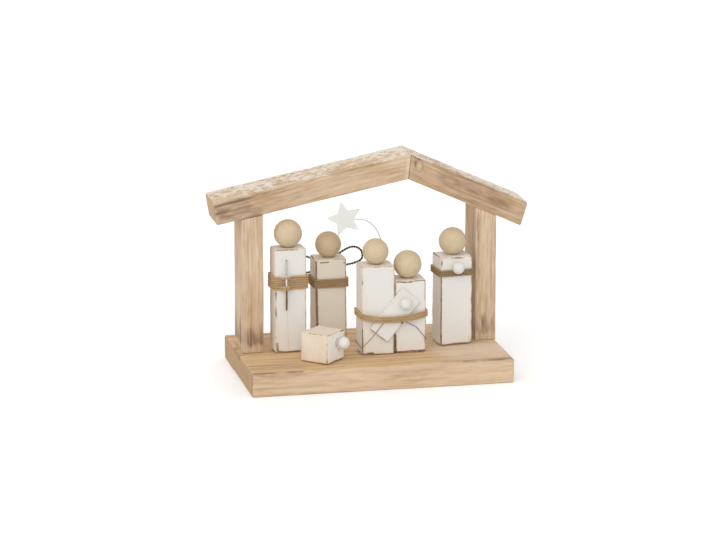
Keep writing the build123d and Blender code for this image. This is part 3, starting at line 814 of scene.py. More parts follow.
def smooth_paint(settings):
    """Even pale paint with a faint mottle."""
    finish = Finish("star_paint")
    mottle = finish.noise(finish.place(), 260.0, 3.0)
    grit = finish.noise(finish.place(), 1400.0, 2.0)
    shade = darker(settings.star_paint, 0.90)
    return finish.surface(
        Base_Color=finish.mix(finish.step(mottle, 0.4, 0.75) * 0.5, settings.star_paint, shade),
        Roughness=0.5 + (mottle - 0.5) * 0.3,
        Normal=finish.relief(grit, 0.0001, 0.3),
    )


def drawn_metal(name, base):
    """Bare metal with fine drawing marks."""
    finish = Finish(name)
    marks = finish.noise(finish.stretch(finish.place(), 1.0, 1.0, 0.2), 2600.0, 2.0)
    dull = darker(base, 0.7)
    return finish.surface(
        Base_Color=finish.mix(finish.step(marks, 0.4, 0.7), base, dull),
        Roughness=0.3 + marks * 0.2,
        Metallic=1.0,
        Normal=finish.relief(marks, 0.00005, 0.3),
    )


def dowel_wood(settings):
    """Plain dowel wood, streaked along the vertical."""
    finish = Finish("dowel_wood")
    streak = finish.noise(finish.stretch(finish.place(), 700.0, 700.0, 40.0), 1.0, 3.0)
    return finish.surface(
        Base_Color=finish.mix(finish.step(streak, 0.35, 0.7), settings.ball_light, settings.ball_dark),
        Roughness=0.6 + (streak - 0.5) * 0.2,
        Normal=finish.relief(streak, 0.0002, 0.4),
    )


# Fades up the staff, each from one height to another in shares of its length.
STAFF_BELOW = (0.47, 0.43)
STAFF_BELT_FOOT = (0.47, 0.52)
STAFF_BELT_TOP = (0.70, 0.66)
STAFF_TIP = (0.975, 0.99)


def staff_wood(figures):
    """A pale twig that is white at the belt and dark below it."""
    finish = Finish("staff_wood")
    share = finish.field("share")
    grit = finish.noise(finish.stretch(finish.place(), 1.0, 1.0, 0.25), 900.0, 3.0)
    height = share + (grit - 0.5) * 0.05
    at_belt = finish.step(height, *STAFF_BELT_FOOT) * finish.step(height, *STAFF_BELT_TOP)
    pale = finish.mix(grit, figures.twig_light, figures.twig_dark)
    coat = finish.mix(at_belt, pale, figures.white_paint)
    coat = finish.mix(finish.step(height, *STAFF_BELOW), coat, figures.worn_wood)
    tip = finish.step(height, *STAFF_TIP)
    return finish.surface(
        Base_Color=finish.mix(tip, coat, figures.worn_wood),
        Roughness=0.7 + (grit - 0.5) * 0.2,
        Normal=finish.relief(grit, 0.0002, 0.5),
    )


# Boards


def board_axes(slope):
    """Rows along, across and out of a rafter that rises to the right by a slope."""
    cosine, sine = math.cos(slope), math.sin(slope)
    return np.array([[cosine, 0.0, sine], [0.0, 1.0, 0.0], [-sine, 0.0, cosine]])


POST_AXES = np.array([[0.0, 0.0, 1.0], [0.0, -1.0, 0.0], [1.0, 0.0, 0.0]])
BASE_AXES = np.eye(3)
# Where the posts meet the rafters, in shares of half their length.
POST_SEATS = {"left_rafter": (-0.71, -0.45), "right_rafter": (-0.01, 0.49)}
SEAT_FADE = 0.04
# Share of the eaves' rounding that the base's edges have, and the share that edges lose where boards meet.
BASE_ROUNDING = 0.7
MEETING_LOSS = 0.86
# Cells of a board's unevenness: of its edges, and along, across and out for its waves and brushed grooves.
BOARD_EDGE_CELL = 0.022
WAVE_CELLS = (0.060, 0.024, 0.024)
GROOVE_CELLS = (0.045, 0.0028, 0.0028)
BOARD_EDGE_STEPS = 7
# Width of the finer grid beside a board's edges in radii of the eaves, and how much its edges' radius varies.
BOARD_ZONE = 1.6
BOARD_UNEVEN = 0.35


def board_surface(node, axes, slants, pitches, settings, seed):
    """A sawn board with softened edges, ends slanted by u += w tan(slant), and grooves along its grain.

    Each point moves in along its normal by slow waves and by brushed grooves. Returns the points, the quads,
    the normals, the places in the board (along, across, out), the places counted from the tree's heart, and
    what sets the board in its place.
    """
    centre, size = turned_box(axes, node)
    tangents = np.tan(slants)
    low = -size[0] / 2 + size[2] / 2 * abs(tangents[0])
    high = size[0] / 2 - size[2] / 2 * abs(tangents[1])
    size = np.array([high - low, size[1], size[2]])
    eave = {"left_rafter": -1.0, "right_rafter": 1.0}.get(node, 0.0)
    is_post, is_base = float(node.endswith("post")), float(node == "base_board")
    zone = BOARD_ZONE * settings.eave_radius

    def radius_at(square):
        """Radius of the edges: larger at the eaves and round the base, and small where boards meet."""
        uneven = fractal_noise(scaled(square, BOARD_EDGE_CELL), seed, 2)
        along, out = square[:, 0] / (size[0] / 2), square[:, 2] / (size[2] / 2)
        outer = np.maximum(smooth(0.90, 1.0, eave * along), BASE_ROUNDING * is_base)
        meeting = is_post * smooth(0.96, 1.0, np.abs(along))
        if eave:
            start, end = POST_SEATS[node]
            seat = smooth(start - SEAT_FADE, start, along) * smooth(end + SEAT_FADE, end, along)
            meeting = np.maximum(smooth(0.95, 1.0, -eave * along), seat * smooth(-0.5, -0.8, out))
        mean = settings.edge_radius + outer * (settings.eave_radius - settings.edge_radius)
        return mean * (1.0 + BOARD_UNEVEN * uneven) * (1.0 - MEETING_LOSS * meeting)

    points, normal, quads, square = worn_box(size, zone, pitches, BOARD_EDGE_STEPS, radius_at)
    draw = np.random.default_rng(seed)
    heart = np.array([draw.uniform(0.0, 0.5), draw.uniform(-0.03, 0.03), draw.uniform(-0.05, -0.03)])
    grain = square + heart
    waves = fractal_noise(scaled(grain, *WAVE_CELLS), seed + 10, 2)
    grooves = lattice_noise(scaled(grain, *GROOVE_CELLS), seed + 20)
    rise = -settings.wave_height * smooth(-1.0, 1.0, waves)
    rise = rise - settings.groove_depth * smooth(0.1, 0.8, grooves)
    points = points + rise[:, None] * normal
    return points, quads, normal, square, grain, (centre, low, high, tangents, size)


def set_board(points, axes, place):
    """Board places to the model's frame, with the slant of the ends shared out along the board."""
    centre, low, high, tangents, size = place
    share = np.clip(points[:, 0] / size[0] + 0.5, 0.0, 1.0)
    slanted = points.copy()
    slanted[:, 0] += (low + high) / 2 + points[:, 2] * (tangents[0] * (1.0 - share) + tangents[1] * share)
    return centre + slanted @ axes


# The scorched line beside a board's long edges: its distance from the edge, its width and its strength.
EDGE_LINE = (0.0012, 0.0014, 0.42)
# Cells (along, across, out) of the breaks in scorched lines, of burns' ragged rims, of paint flakes and their
# broad patches, and of the smoke in a stain.
BREAK_CELLS = (0.040, 0.012, 0.012)
RAGGED_CELLS = (0.014, 0.0028, 0.0028)
FLAKE_CELLS = (0.0042, 0.0030, 0.02)
BROAD_CELLS = (0.030, 0.020, 0.02)
SMOKE_CELLS = (0.030, 0.006, 0.006)


def edge_burn(square, size, grain, seed):
    """Dark brushed lines beside the long edges, broken up along them."""
    gap = (np.array(size) / 2 - np.abs(square))[:, 1:].max(axis=1)
    broken = smooth(-0.1, 0.6, fractal_noise(scaled(grain, *BREAK_CELLS), seed + 30, 2))
    place, width, strength = EDGE_LINE
    return strength * bump_at(place, width, gap) * broken


# Burnt marks on the boards: start and end in shares of half the sides (along, across, out), width, strength.
# A strength below zero is a pale mark; the one at the left rafter's mitre is partly painted light.
BOARD_MARKS_AND_MITRE_LIGHT = {
    "base_board": (
        ((-0.98, -1.0, 1.0), (-0.62, -1.0, 0.98), 0.0026, 0.92),
        ((-0.62, -0.96, 1.0), (-0.30, -0.90, 1.0), 0.0034, 0.52),
        ((-0.18, -0.92, 1.0), (0.29, -0.86, 1.0), 0.0032, 0.36),
        ((0.29, -0.86, 1.0), (0.60, -0.93, 1.0), 0.0032, 0.34),
        ((0.46, -0.94, 1.0), (0.72, -0.97, 1.0), 0.0038, 0.46),
        ((0.62, -0.96, 1.0), (0.84, -0.96, 1.0), 0.0042, 0.80),
        ((0.76, -0.96, 1.0), (0.98, -0.95, 1.0), 0.0044, 1.20),
        ((0.62, -0.45, 1.0), (0.95, -0.35, 1.0), 0.0240, -0.85),
        ((-1.0, 0.95, 0.90), (-1.0, 0.80, -0.40), 0.0048, 0.42),
        ((-1.0, 0.30, 0.95), (-1.0, -0.08, 0.85), 0.0046, 0.60),
        ((-1.0, -0.15, 0.30), (-1.0, -0.70, 0.10), 0.0050, 0.30),
        ((-1.0, -0.98, 0.95), (-1.0, -0.98, -0.60), 0.0024, 0.60),
    ),
    "left_post": (((-0.12, 1.0, -1.0), (-0.20, 1.0, -1.0), 0.0013, 0.75),),
    "right_post": (
        ((0.92, 1.0, -0.79), (0.52, 1.0, -0.77), 0.0022, 0.42),
        ((0.52, 1.0, -0.77), (0.02, 1.0, -0.65), 0.0018, 0.30),
        ((-0.64, 1.0, -0.28), (-0.86, 1.0, -0.27), 0.0046, 0.55),
        ((-0.66, 1.0, 0.58), (-0.86, 1.0, 0.56), 0.0024, 0.50),
    ),
    "left_rafter": (
        ((-0.98, -1.0, 0.62), (-0.26, -1.0, 0.76), 0.0026, 0.68),
        ((-0.26, -1.0, 0.76), (0.10, -1.0, 0.91), 0.0024, 0.56),
        ((0.10, -1.0, 0.91), (0.62, -1.0, 0.93), 0.0022, 0.44),
        ((-0.96, -1.0, 0.08), (-0.66, -1.0, -0.12), 0.0066, 0.58),
        ((-0.93, -1.0, -0.43), (-0.56, -1.0, -0.72), 0.0064, 0.62),
        ((-0.52, -1.0, -0.24), (-0.13, -1.0, -0.18), 0.0040, 0.28),
        ((0.48, -1.0, 0.11), (0.90, -1.0, 0.05), 0.0040, 0.22),
        # Partly painted light: a pale band that lightens the shaded groove at the mitre.
        ((0.985, -1.0, 0.6), (0.985, -1.0, -0.8), 0.0034, -0.60),
    ),
    "right_rafter": (
        ((-0.925, -1.0, 0.80), (-0.915, -1.0, -0.10), 0.0016, 0.40),
        ((-0.98, -1.0, 1.0), (-0.86, -1.0, 0.96), 0.0017, 0.70),
        ((-0.68, -1.0, 0.95), (-0.29, -1.0, 0.90), 0.0022, 0.40),
        ((-0.29, -1.0, 0.90), (0.45, -1.0, 0.88), 0.0030, 0.52),
        ((0.45, -1.0, 0.88), (0.90, -1.0, 0.88), 0.0024, 0.40),
        ((-0.40, -1.0, 0.36), (0.64, -1.0, 0.16), 0.0125, 0.54),
        ((-0.1, -1.0, -0.50), (0.66, -1.0, -0.60), 0.0115, 0.36),
        ((0.60, -1.0, 0.0), (0.92, -1.0, -0.53), 0.0090, 0.30),
    ),
}
# Knots: places along and out in shares of half the sides, and half widths along and out.
BOARD_KNOTS = {"right_rafter": ((-0.845, 0.40), (0.0044, 0.0056))}
# A knot's rings: place and width in its half widths, and strength.
KNOT_RINGS = ((1.0, 0.34, 0.62), (0.0, 0.55, -0.60), (2.0, 0.4, 0.26))


def knot_rings(square, size, knot):
    """Burn of a knot: bumps at the rings' places on the elliptic distance from its heart."""
    (along, out), (wide, tall) = knot
    gap = np.hypot((square[:, 0] - along * size[0] / 2) / wide, (square[:, 2] - out * size[2] / 2) / tall)
    return sum(strength * bump_at(place, width, gap) for place, width, strength in KNOT_RINGS)


# How dark each board's wood is, how golden its top and ends are, how strong its foot's stain is, and how dark
# its end grain is.
BOARD_TONES = {
    "base_board": (0.05, 0.95, 0.0, 0.90),
    "left_post": (0.22, 0.0, 0.86, 0.55),
    "right_post": (0.24, 0.0, 0.52, 0.55),
    "left_rafter": (0.22, 0.35, 0.0, 0.55),
    "right_rafter": (0.52, 0.30, 0.0, 0.55),
}


def rafter_snow(square, size, normal, grain, seed):
    """Chipped snow paint on a rafter: flakes on faces that look up, denser in places and to the back."""
    flakes = fractal_noise(scaled(grain, *FLAKE_CELLS), seed + 40, 3)
    broad = fractal_noise(scaled(grain, *BROAD_CELLS), seed + 41, 2)
    back = smooth(-0.45, 0.40, square[:, 1] / size[1])
    return smooth(0.5, 0.85, normal[:, 2]) * smooth(-0.65, 0.75, 0.8 * flakes + 0.5 * broad + 0.25 * back)


def post_stain(square, size, grain, stain_height, seed):
    """The stain at a post's foot, which fades up in streaks and is worn pale at the very foot."""
    height = square[:, 0] + size[0] / 2
    smoke = fractal_noise(scaled(grain, *SMOKE_CELLS), seed + 50, 2)
    stain = smooth(1.0, 0.15, height / stain_height + 0.40 * smoke)
    worn_foot = smooth(0.012, 0.005, height - 0.004 * smoke)
    return stain * (1.0 - 0.85 * worn_foot)


# Steps of the boards' grids (along, across, out), how ragged the burns are, and the least burn that hides the
# scorched edge lines.
COARSE_PITCHES = (0.0022, 0.0014, 0.0012)
FINE_PITCHES = (0.0011, 0.0010, 0.0010)
RAGGEDNESS = 0.55
HIDING_BURN = 0.12


class STABLE_OT_boards(Operator):
    """Build the base, the posts and the rafters"""

    bl_idname = "stable.boards"
    bl_label = "Boards"

    def execute(self, context):
        settings = settings_of(context, "boards")
        wood = stable_wood(settings)
        mitre = (settings.left_slope + settings.right_slope) / 2
        left_axes, right_axes = board_axes(settings.left_slope), board_axes(-settings.right_slope)
        left_slants = (settings.left_slope - settings.left_eave_cut, mitre)
        right_slants = (-mitre, settings.right_eave_cut - settings.right_slope)
        for node, axes, slants, pitches, seed in (
            ("base_board", BASE_AXES, (0.0, 0.0), COARSE_PITCHES, 3),
            ("left_post", POST_AXES, (0.0, settings.left_slope), COARSE_PITCHES, 11),
            ("right_post", POST_AXES, (0.0, -settings.right_slope), COARSE_PITCHES, 23),
            ("left_rafter", left_axes, left_slants, FINE_PITCHES, 31),
            ("right_rafter", right_axes, right_slants, FINE_PITCHES, 47),
        ):
            surface = board_surface(node, axes, slants, pitches, settings, seed)
            points, quads, normal, square, grain, place = surface
            size = place[-1]
            snow = np.zeros(len(points))
            ragged = fractal_noise(scaled(grain, *RAGGED_CELLS), seed + 60, 2)
            burn = strokes(square, size, BOARD_MARKS_AND_MITRE_LIGHT[node]) * (1.0 + RAGGEDNESS * ragged)
            if node in BOARD_KNOTS:
                burn = burn + knot_rings(square, size, BOARD_KNOTS[node])
            scorched = np.maximum(burn, edge_burn(square, size, grain, seed))
            burn = np.where(np.abs(burn) > HIDING_BURN, burn, scorched)
            if node.endswith("rafter"):
                snow = rafter_snow(square, size, normal, grain, seed)
                points = points + (settings.flake_height * snow)[:, None] * normal
            tone, honey, stain, end_grain = BOARD_TONES[node]
            if stain:
                burn = np.maximum(burn, stain * post_stain(square, size, grain, settings.stain_height, seed))
            end = smooth(0.6, 0.9, np.abs(normal[:, 0]))
            top = smooth(0.5, 0.9, normal[:, 2]) * smooth(0.75, 0.3, square[:, 0] / (size[0] / 2))
            oiled = np.clip(top + end, settings.side_oil, 1.0)
            add_piece(
                node + "_wood", set_board(points, axes, place), quads, "stable", "stable_wood", wood, (node,),
                grain=grain, burn=np.clip(burn, -1.0, 1.0), snow=snow, end=end_grain * end,
                tone=tone, honey=honey * oiled,
            )
        return {"FINISHED"}


# Figures


# Cells of a block's unevenness: of its worn edges, and up, right and back for the waves of its faces.
BLOCK_EDGE_CELL = 0.013
BLOCK_WAVE_CELLS = (0.030, 0.014, 0.014)
BLOCK_PITCHES = (0.0020, 0.0008, 0.0010)
BLOCK_EDGE_STEPS = 6
# Radius of a block's edges: its mean and its largest value as shares of the thinnest side, how much it varies
# and between which shares of the mean, and what the foot adds.
MEAN_RADIUS = 0.34
LARGEST_RADIUS = 0.42
BLOCK_UNEVEN = 0.55
BLOCK_RANGE = (0.45, 1.5)
FOOT_ROUNDING = 0.55
# Width of the finer grid beside the edges in radii, and the most that it takes of the thinnest side.
BLOCK_ZONE = 2.4
WIDEST_ZONE = 0.45


def block_surface(axes, node, settings, seed):
    """A painted block: a box with unevenly worn edges and slightly wavy faces.

    Returns the points in the model's frame and the quads, and, along the block's own axes, the places on it,
    its size and the normals.
    """
    centre, size = turned_box(axes, node)
    edge_radius = min(settings.edge_radius, MEAN_RADIUS * size.min())
    zone = min(BLOCK_ZONE * edge_radius, WIDEST_ZONE * size.min())

    def radius_at(square):
        """Radius of the edges: uneven, and larger at the foot."""
        uneven = fractal_noise(scaled(square, BLOCK_EDGE_CELL), seed, 3)
        foot = smooth(-0.80, -0.97, square[:, 0] / (size[0] / 2))
        share = np.clip(1.0 + BLOCK_UNEVEN * uneven, *BLOCK_RANGE) * (1.0 + FOOT_ROUNDING * foot)
        return np.minimum(edge_radius * share, LARGEST_RADIUS * size.min())

    points, normal, quads, square = worn_box(size, zone, BLOCK_PITCHES, BLOCK_EDGE_STEPS, radius_at)
    waves = fractal_noise(scaled(square, *BLOCK_WAVE_CELLS), seed + 10, 2)
    points = points - (settings.dent_depth * smooth(-1.0, 1.0, waves))[:, None] * normal
    return centre + points @ axes, quads, square, size, normal


# Worn marks on the blocks, with painted shadows among them: start and end in shares of half the sides (up,
# right, back), width and strength.
BLOCK_MARKS_AND_SHADOWS = {
    "shepherd_block": (
        ((0.985, -0.92, -1.0), (0.975, 0.46, -1.0), 0.0015, 0.80),
        ((0.19, -0.95, -1.0), (-0.29, -0.94, -1.0), 0.0014, 0.86),
        ((-0.81, -0.87, -1.0), (-0.95, -0.83, -1.0), 0.0016, 0.95),
        ((-0.99, -0.95, -1.0), (-0.99, 1.0, -1.0), 0.0014, 0.92),
        ((0.17, 0.98, -1.0), (-0.53, 0.98, -1.0), 0.0011, 0.80),
        ((-0.17, -0.22, -1.0), (-0.98, -0.16, -1.0), 0.0009, 0.62),
    ),
    "angel_block": (
        ((0.95, -0.97, -1.0), (0.31, -0.95, -1.0), 0.0020, 0.95),
        ((0.31, -0.95, -1.0), (-1.0, -0.88, -1.0), 0.0024, 1.05),
        ((0.93, -0.68, -1.0), (0.93, -0.14, -1.0), 0.0014, 0.84),
        ((0.98, 0.97, -1.0), (-1.0, 0.96, -1.0), 0.0014, 0.82),
        # Painted shade: a dark dot that stands for the shade in the hole where a wing's wire comes out.
        ((0.90, 0.84, -1.0), (0.88, 0.84, -1.0), 0.0018, 0.85),
    ),
    "tall_parent_block": (
        ((1.0, -1.0, -1.0), (-0.41, -1.0, -1.0), 0.0012, 0.66),
        ((-0.41, -1.0, -1.0), (-1.0, -1.0, -1.0), 0.0018, 0.95),
        ((1.0, -1.0, -1.0), (1.0, 1.0, -1.0), 0.0015, 0.70),
        ((-1.0, -1.0, -1.0), (-1.0, 1.0, -1.0), 0.0018, 0.96),
        ((-0.97, -0.55, -1.0), (-0.97, -0.35, -1.0), 0.0027, 0.95),
        ((-0.50, 1.0, -1.0), (-1.0, 1.0, -1.0), 0.0024, 1.10),
    ),
    "short_parent_block": (
        ((0.97, -0.95, -1.0), (0.945, -0.18, -1.0), 0.0015, 0.82),
        ((0.945, -0.18, -1.0), (0.99, 0.90, -1.0), 0.0016, 0.86),
        ((1.0, 1.0, -1.0), (0.43, 1.0, -1.0), 0.0018, 0.92),
        ((0.43, 1.0, -1.0), (-1.0, 1.0, -1.0), 0.0014, 0.80),
        ((-0.97, -1.0, -1.0), (-0.96, 1.0, -1.0), 0.0024, 0.86),
        ((1.0, -1.0, -1.0), (0.50, -1.0, -1.0), 0.0016, 0.86),
        ((-0.50, -1.0, -1.0), (-1.0, -1.0, -1.0), 0.0024, 1.10),
    ),
    "king_block": (
        ((0.57, -1.0, -1.0), (-0.18, -0.99, -1.0), 0.0019, 1.00),
        ((-0.18, -0.99, -1.0), (-1.0, -1.0, -1.0), 0.0019, 1.05),
        ((1.0, -0.93, -1.0), (0.77, -0.91, -1.0), 0.0018, 0.70),
        ((0.98, -0.36, -1.0), (0.965, 0.49, -1.0), 0.0014, 0.82),
        ((-1.0, -1.0, -1.0), (-1.0, 1.0, -1.0), 0.0016, 0.95),
        ((1.0, 0.97, -1.0), (-1.0, 0.98, -1.0), 0.0012, 0.72),
        ((-0.82, 0.85, -1.0), (-1.0, 0.70, -1.0), 0.0030, 0.50),
    ),
    "lamb_block": (
        ((1.0, 1.0, -1.0), (-0.6, 1.0, -1.0), 0.0024, 0.62),
        ((-0.6, 1.0, -1.0), (-1.0, 1.0, -1.0), 0.0016, 0.84),
        ((1.0, -1.0, -1.0), (1.0, 1.0, -1.0), 0.0026, 0.61),
        ((1.0, 1.0, -1.0), (1.0, 1.0, 1.0), 0.0022, 0.64),
        ((-1.0, -1.0, -1.0), (-1.0, 1.0, -1.0), 0.0014, 0.74),
        ((-1.0, 1.0, -1.0), (-1.0, 1.0, 1.0), 0.0014, 0.70),
        # Painted shadow: a dark crescent on the right face beside the snout, where the snout's shadow falls.
        ((0.62, 1.0, 0.15), (0.36, 1.0, -0.02), 0.0013, 0.90),
        ((0.36, 1.0, -0.02), (0.0, 1.0, 0.04), 0.0014, 1.00),
        ((0.0, 1.0, 0.04), (-0.25, 1.0, 0.28), 0.0012, 0.84),
    ),
    "infant_board": (
        ((-1.0, -1.0, 1.0), (-1.0, 1.0, 1.0), 0.0012, 0.80),
        ((-1.0, 1.0, 1.0), (1.0, 1.0, 1.0), 0.0009, 0.55),
        ((-1.0, -1.0, 1.0), (0.2, -1.0, 1.0), 0.0011, 0.66),
    ),
}
# How thin the paint is on each block's front, left and top, and on its other faces. These shares are partly
# painted light: thin, warm paint stands in for shade and warm bounce light on the sides and tops, the angel's
# shaded left side keeps its full paint, and the lamb's dimly lit right face keeps its full cream.
BLOCK_THINNESS_AND_SHADE = {
    "shepherd_block": (0.03, 0.30, 0.24, 0.45),
    "angel_block": (0.06, 0.0, 0.10, 0.35),
    "tall_parent_block": (0.20, 0.26, 0.36, 0.40),
    "short_parent_block": (0.05, 0.40, 0.36, 0.40),
    "king_block": (0.0, 0.16, 0.24, 0.45),
    # Painted light: the lamb's right face keeps full cream for its dim light, and its other faces are thinned
    # to match.
    "lamb_block": (0.60, 0.56, 0.60, 0.0),
    "infant_board": (0.10, 0.10, 0.10, 0.10),
}
# How thin the paint gets at a front's foot and at edges, and how far in from them it is thin.
FOOT_THINNESS = 0.15
EDGE_THINNESS = 0.30
FADE_WIDTH = 0.0065
# Wear of all edges, what the back's worn patches add, the share of it on the infant's board, and the cells of
# the patches (up, right, back).
EDGE_WEAR = 0.64
BACK_WEAR = 0.31
INFANT_WEAR = 0.50
PATCH_CELLS = (0.022, 0.016, 0.016)


def paint_thinness_and_shade(node, square, size, normal):
    """Thinness of a block's paint, by the way that a face looks, and more at edges and the front's foot. The
    shares by face are partly painted shade and warm bounce light.
    """
    front, left, top, others = BLOCK_THINNESS_AND_SHADE[node]
    looks = [smooth(0.3, 0.8, facing) for facing in (-normal[:, 2], -normal[:, 1], normal[:, 0])]
    low = smooth(0.4, -1.0, square[:, 0] / (size[0] / 2))
    shares = (front + FOOT_THINNESS * low, left, top)
    rest = np.clip(1.0 - sum(looks), 0.0, 1.0)
    faded = np.clip(1.0 - edge_gap(square, size) / FADE_WIDTH, 0.0, 1.0) ** 2
    faces = sum(look * share for look, share in zip(looks, shares))
    return faces + rest * others + EDGE_THINNESS * faded


def edge_wear(square, size, settings, seed):
    """Wear of a block's edges: even on the front, and with worn patches towards the back."""
    near = np.clip(1.0 - edge_gap(square, size) / settings.wear_width, 0.0, 1.0)
    patches = fractal_noise(scaled(square, *PATCH_CELLS), seed + 20, 2)
    behind = smooth(-0.55, 0.35, 2.0 * square[:, 2] / size[2])
    return near * (EDGE_WEAR + BACK_WEAR * behind * smooth(-0.30, 0.35, patches))


class STABLE_OT_painted_blocks(Operator):
    """Build the painted blocks and the infant's board"""

    bl_idname = "stable.painted_blocks"
    bl_label = "Painted blocks"

    def execute(self, context):
        settings = settings_of(context, "figures")
        slots = ("white_paint", "beige_paint", "cream_paint")
        paints = {slot: painted_wood(slot, getattr(settings, slot), settings) for slot in slots}
        family_right, family_back, up = upright_axes(settings.family_yaw)
        tilt = settings.infant_tilt
        infant_axes = np.array([
            math.cos(tilt) * family_right + math.sin(tilt) * up,
            math.cos(tilt) * up - math.sin(tilt) * family_right,
            -family_back,
        ])
        for node, body, slot, seed in (
            ("shepherd_block", "shepherd", "white_paint", 5),
            ("angel_block", "angel", "beige_paint", 17),
            ("tall_parent_block", "family", "white_paint", 29),
            ("short_parent_block", "family", "white_paint", 41),
            ("king_block", "king", "white_paint", 53),
            ("lamb_block", "lamb", "cream_paint", 67),
            ("infant_board", "family", "white_paint", 71),
        ):
            is_infant = node == "infant_board"
            axes = infant_axes if is_infant else standing_axes(getattr(settings, body + "_yaw"))
            points, quads, square, size, normal = block_surface(axes, node, settings, seed)
            edge = edge_wear(square, size, settings, seed) * (INFANT_WEAR if is_infant else 1.0)
            # The marks add worn edges, and painted shadows at the lamb's snout and the angel's wire hole.
            edge = np.maximum(edge, strokes(square, size, BLOCK_MARKS_AND_SHADOWS[node]))
            add_piece(
                node + "_paint", points, quads, body, slot, paints[slot], (node,),
                edge=edge, side=paint_thinness_and_shade(node, square, size, normal),
                grain=square + np.random.default_rng(seed).uniform(0.0, 1.0, 3),
            )
        return {"FINISHED"}


# Rings and sides of the heads and of the small balls, and the cell and depth of their dents.
HEAD_RINGS = 40
HEAD_SIDES = 72
HEAD_DENTS = (0.006, 0.00008)
KNOB_RINGS = 26
KNOB_SIDES = 44
KNOB_DENTS = (0.004, 0.00010)
# The flat at the back of a small ball as a share of its radius, the thinness of its paint, which also darkens
# the ball as painted shade, and the strength and the cell of its wear.
KNOB_FLAT = 0.24
KNOB_THINNESS_AND_SHADE = 0.1
KNOB_WEAR = 0.20
KNOB_WEAR_CELL = 0.005


def ball_profile(radius, flat, count):
    """Profile of a ball cut by a flat: from its far pole down to the flat, which ends at the axis."""
    end = math.pi - math.acos((radius - flat) / radius)
    turn = np.linspace(0.0, end, count)
    rim = radius * math.sin(end)
    inward = np.array([[0.8 * rim, radius * math.cos(end)], [0.0, radius * math.cos(end)]])
    return np.concatenate([np.stack([radius * np.sin(turn), radius * np.cos(turn)], axis=-1), inward])


def dented(points, centre, radius, dents, seed):
    """A ball's points moved along its radius by noise, and the places that they had from its centre."""
    cell, depth = dents
    away = points - centre
    noise = fractal_noise(scaled(away, cell), seed, 2)
    return points - depth * noise[:, None] * away / radius, away


class STABLE_OT_ball_heads(Operator):
    """Build the turned ball heads"""

    bl_idname = "stable.ball_heads"
    bl_label = "Ball heads"

    def execute(self, context):
        settings = settings_of(context, "figures")
        wood = turned_beech(settings)
        # Each head's tint: the angel's is painted shade, for its head in the roof's shadow; the rest are
        # tone.
        for node, body, tint, seed in (
            ("shepherd_head", "shepherd", 0.0, 2),
            ("angel_head", "angel", 0.30, 4),
            ("tall_parent_head", "family", 0.02, 6),
            ("short_parent_head", "family", 0.10, 8),
            ("king_head", "king", 0.06, 12),
        ):
            low, high = box_corners(node)
            radius = (high - low)[0] / 2
            centre = np.array([(low + high)[0] / 2, (low + high)[1] / 2, high[2] - radius])
            profile = ball_profile(radius, 2 * radius - (high - low)[2], HEAD_RINGS)
            points, faces = revolve(profile, centre, np.eye(3), HEAD_SIDES)
            points, away = dented(points, centre, radius, HEAD_DENTS, seed)
            draw = np.random.default_rng(seed)
            turn = np.linalg.qr(draw.normal(size=(3, 3)))[0]
            heart = np.array([draw.uniform(0.0, 1.0), draw.uniform(0.02, 0.04), draw.uniform(-0.04, -0.02)])
            add_piece(
                node + "_ball", points, faces, body, "turned_beech", wood, (node,),
                grain=away @ turn + heart, tint=tint,
            )
        return {"FINISHED"}


class STABLE_OT_knobs(Operator):
    """Build the small painted balls: the infant's head, the gift and the lamb's snout"""

    bl_idname = "stable.knobs"
    bl_label = "Small balls"

    def execute(self, context):
        settings = settings_of(context, "figures")
        paint = bpy.data.objects["king_block_paint"].data.materials[0]
        for node, body, facing, shade, seed in (
            ("infant_head", "family", (0.0, -1.0, 0.0), 0.14, 81),
            ("king_gift", "king", (0.0, -1.0, 0.0), 0.08, 83),
            ("lamb_snout", "lamb", (1.0, 0.0, 0.0), 0.06, 85),
        ):
            upright = upright_axes(getattr(settings, body + "_yaw"))
            out = np.array(facing) @ upright
            axes = np.array([np.cross(UP, out), UP, out])
            centre, size = turned_box(axes, node)
            radius = size[1] / 2
            tip = (node_points(node) @ out).max()
            middle = centre + (tip - radius - centre @ out) * out
            profile = ball_profile(radius, KNOB_FLAT * radius, KNOB_RINGS)
            points, faces = revolve(profile, middle, axes, KNOB_SIDES)
            points, away = dented(points, middle, radius, KNOB_DENTS, seed)
            patches = fractal_noise(scaled(away, KNOB_WEAR_CELL), seed + 5, 2)
            add_piece(
                node + "_ball", points, faces, body, "white_paint", paint, (node,),
                edge=KNOB_WEAR * smooth(0.25, 0.75, patches), side=KNOB_THINNESS_AND_SHADE, grain=away + 0.1 * seed,
                shade=shade,
            )
        return {"FINISHED"}


# Twine and thread


FAMILY_BLOCKS = ("tall_parent_block", "short_parent_block")
# Steps round a loop's corners and points round a whole loop, and how far the start is turned off an axis.
CORNER_STEPS = 240
LOOP_POINTS = 420
OFF_AXIS = 1e-6
# Length of each loose end in widths of a block, step along the twine, and points in its running means.
TAIL_SHARE = 0.3
TWINE_STEP = 0.00045
TWINE_SOFTENING = 7


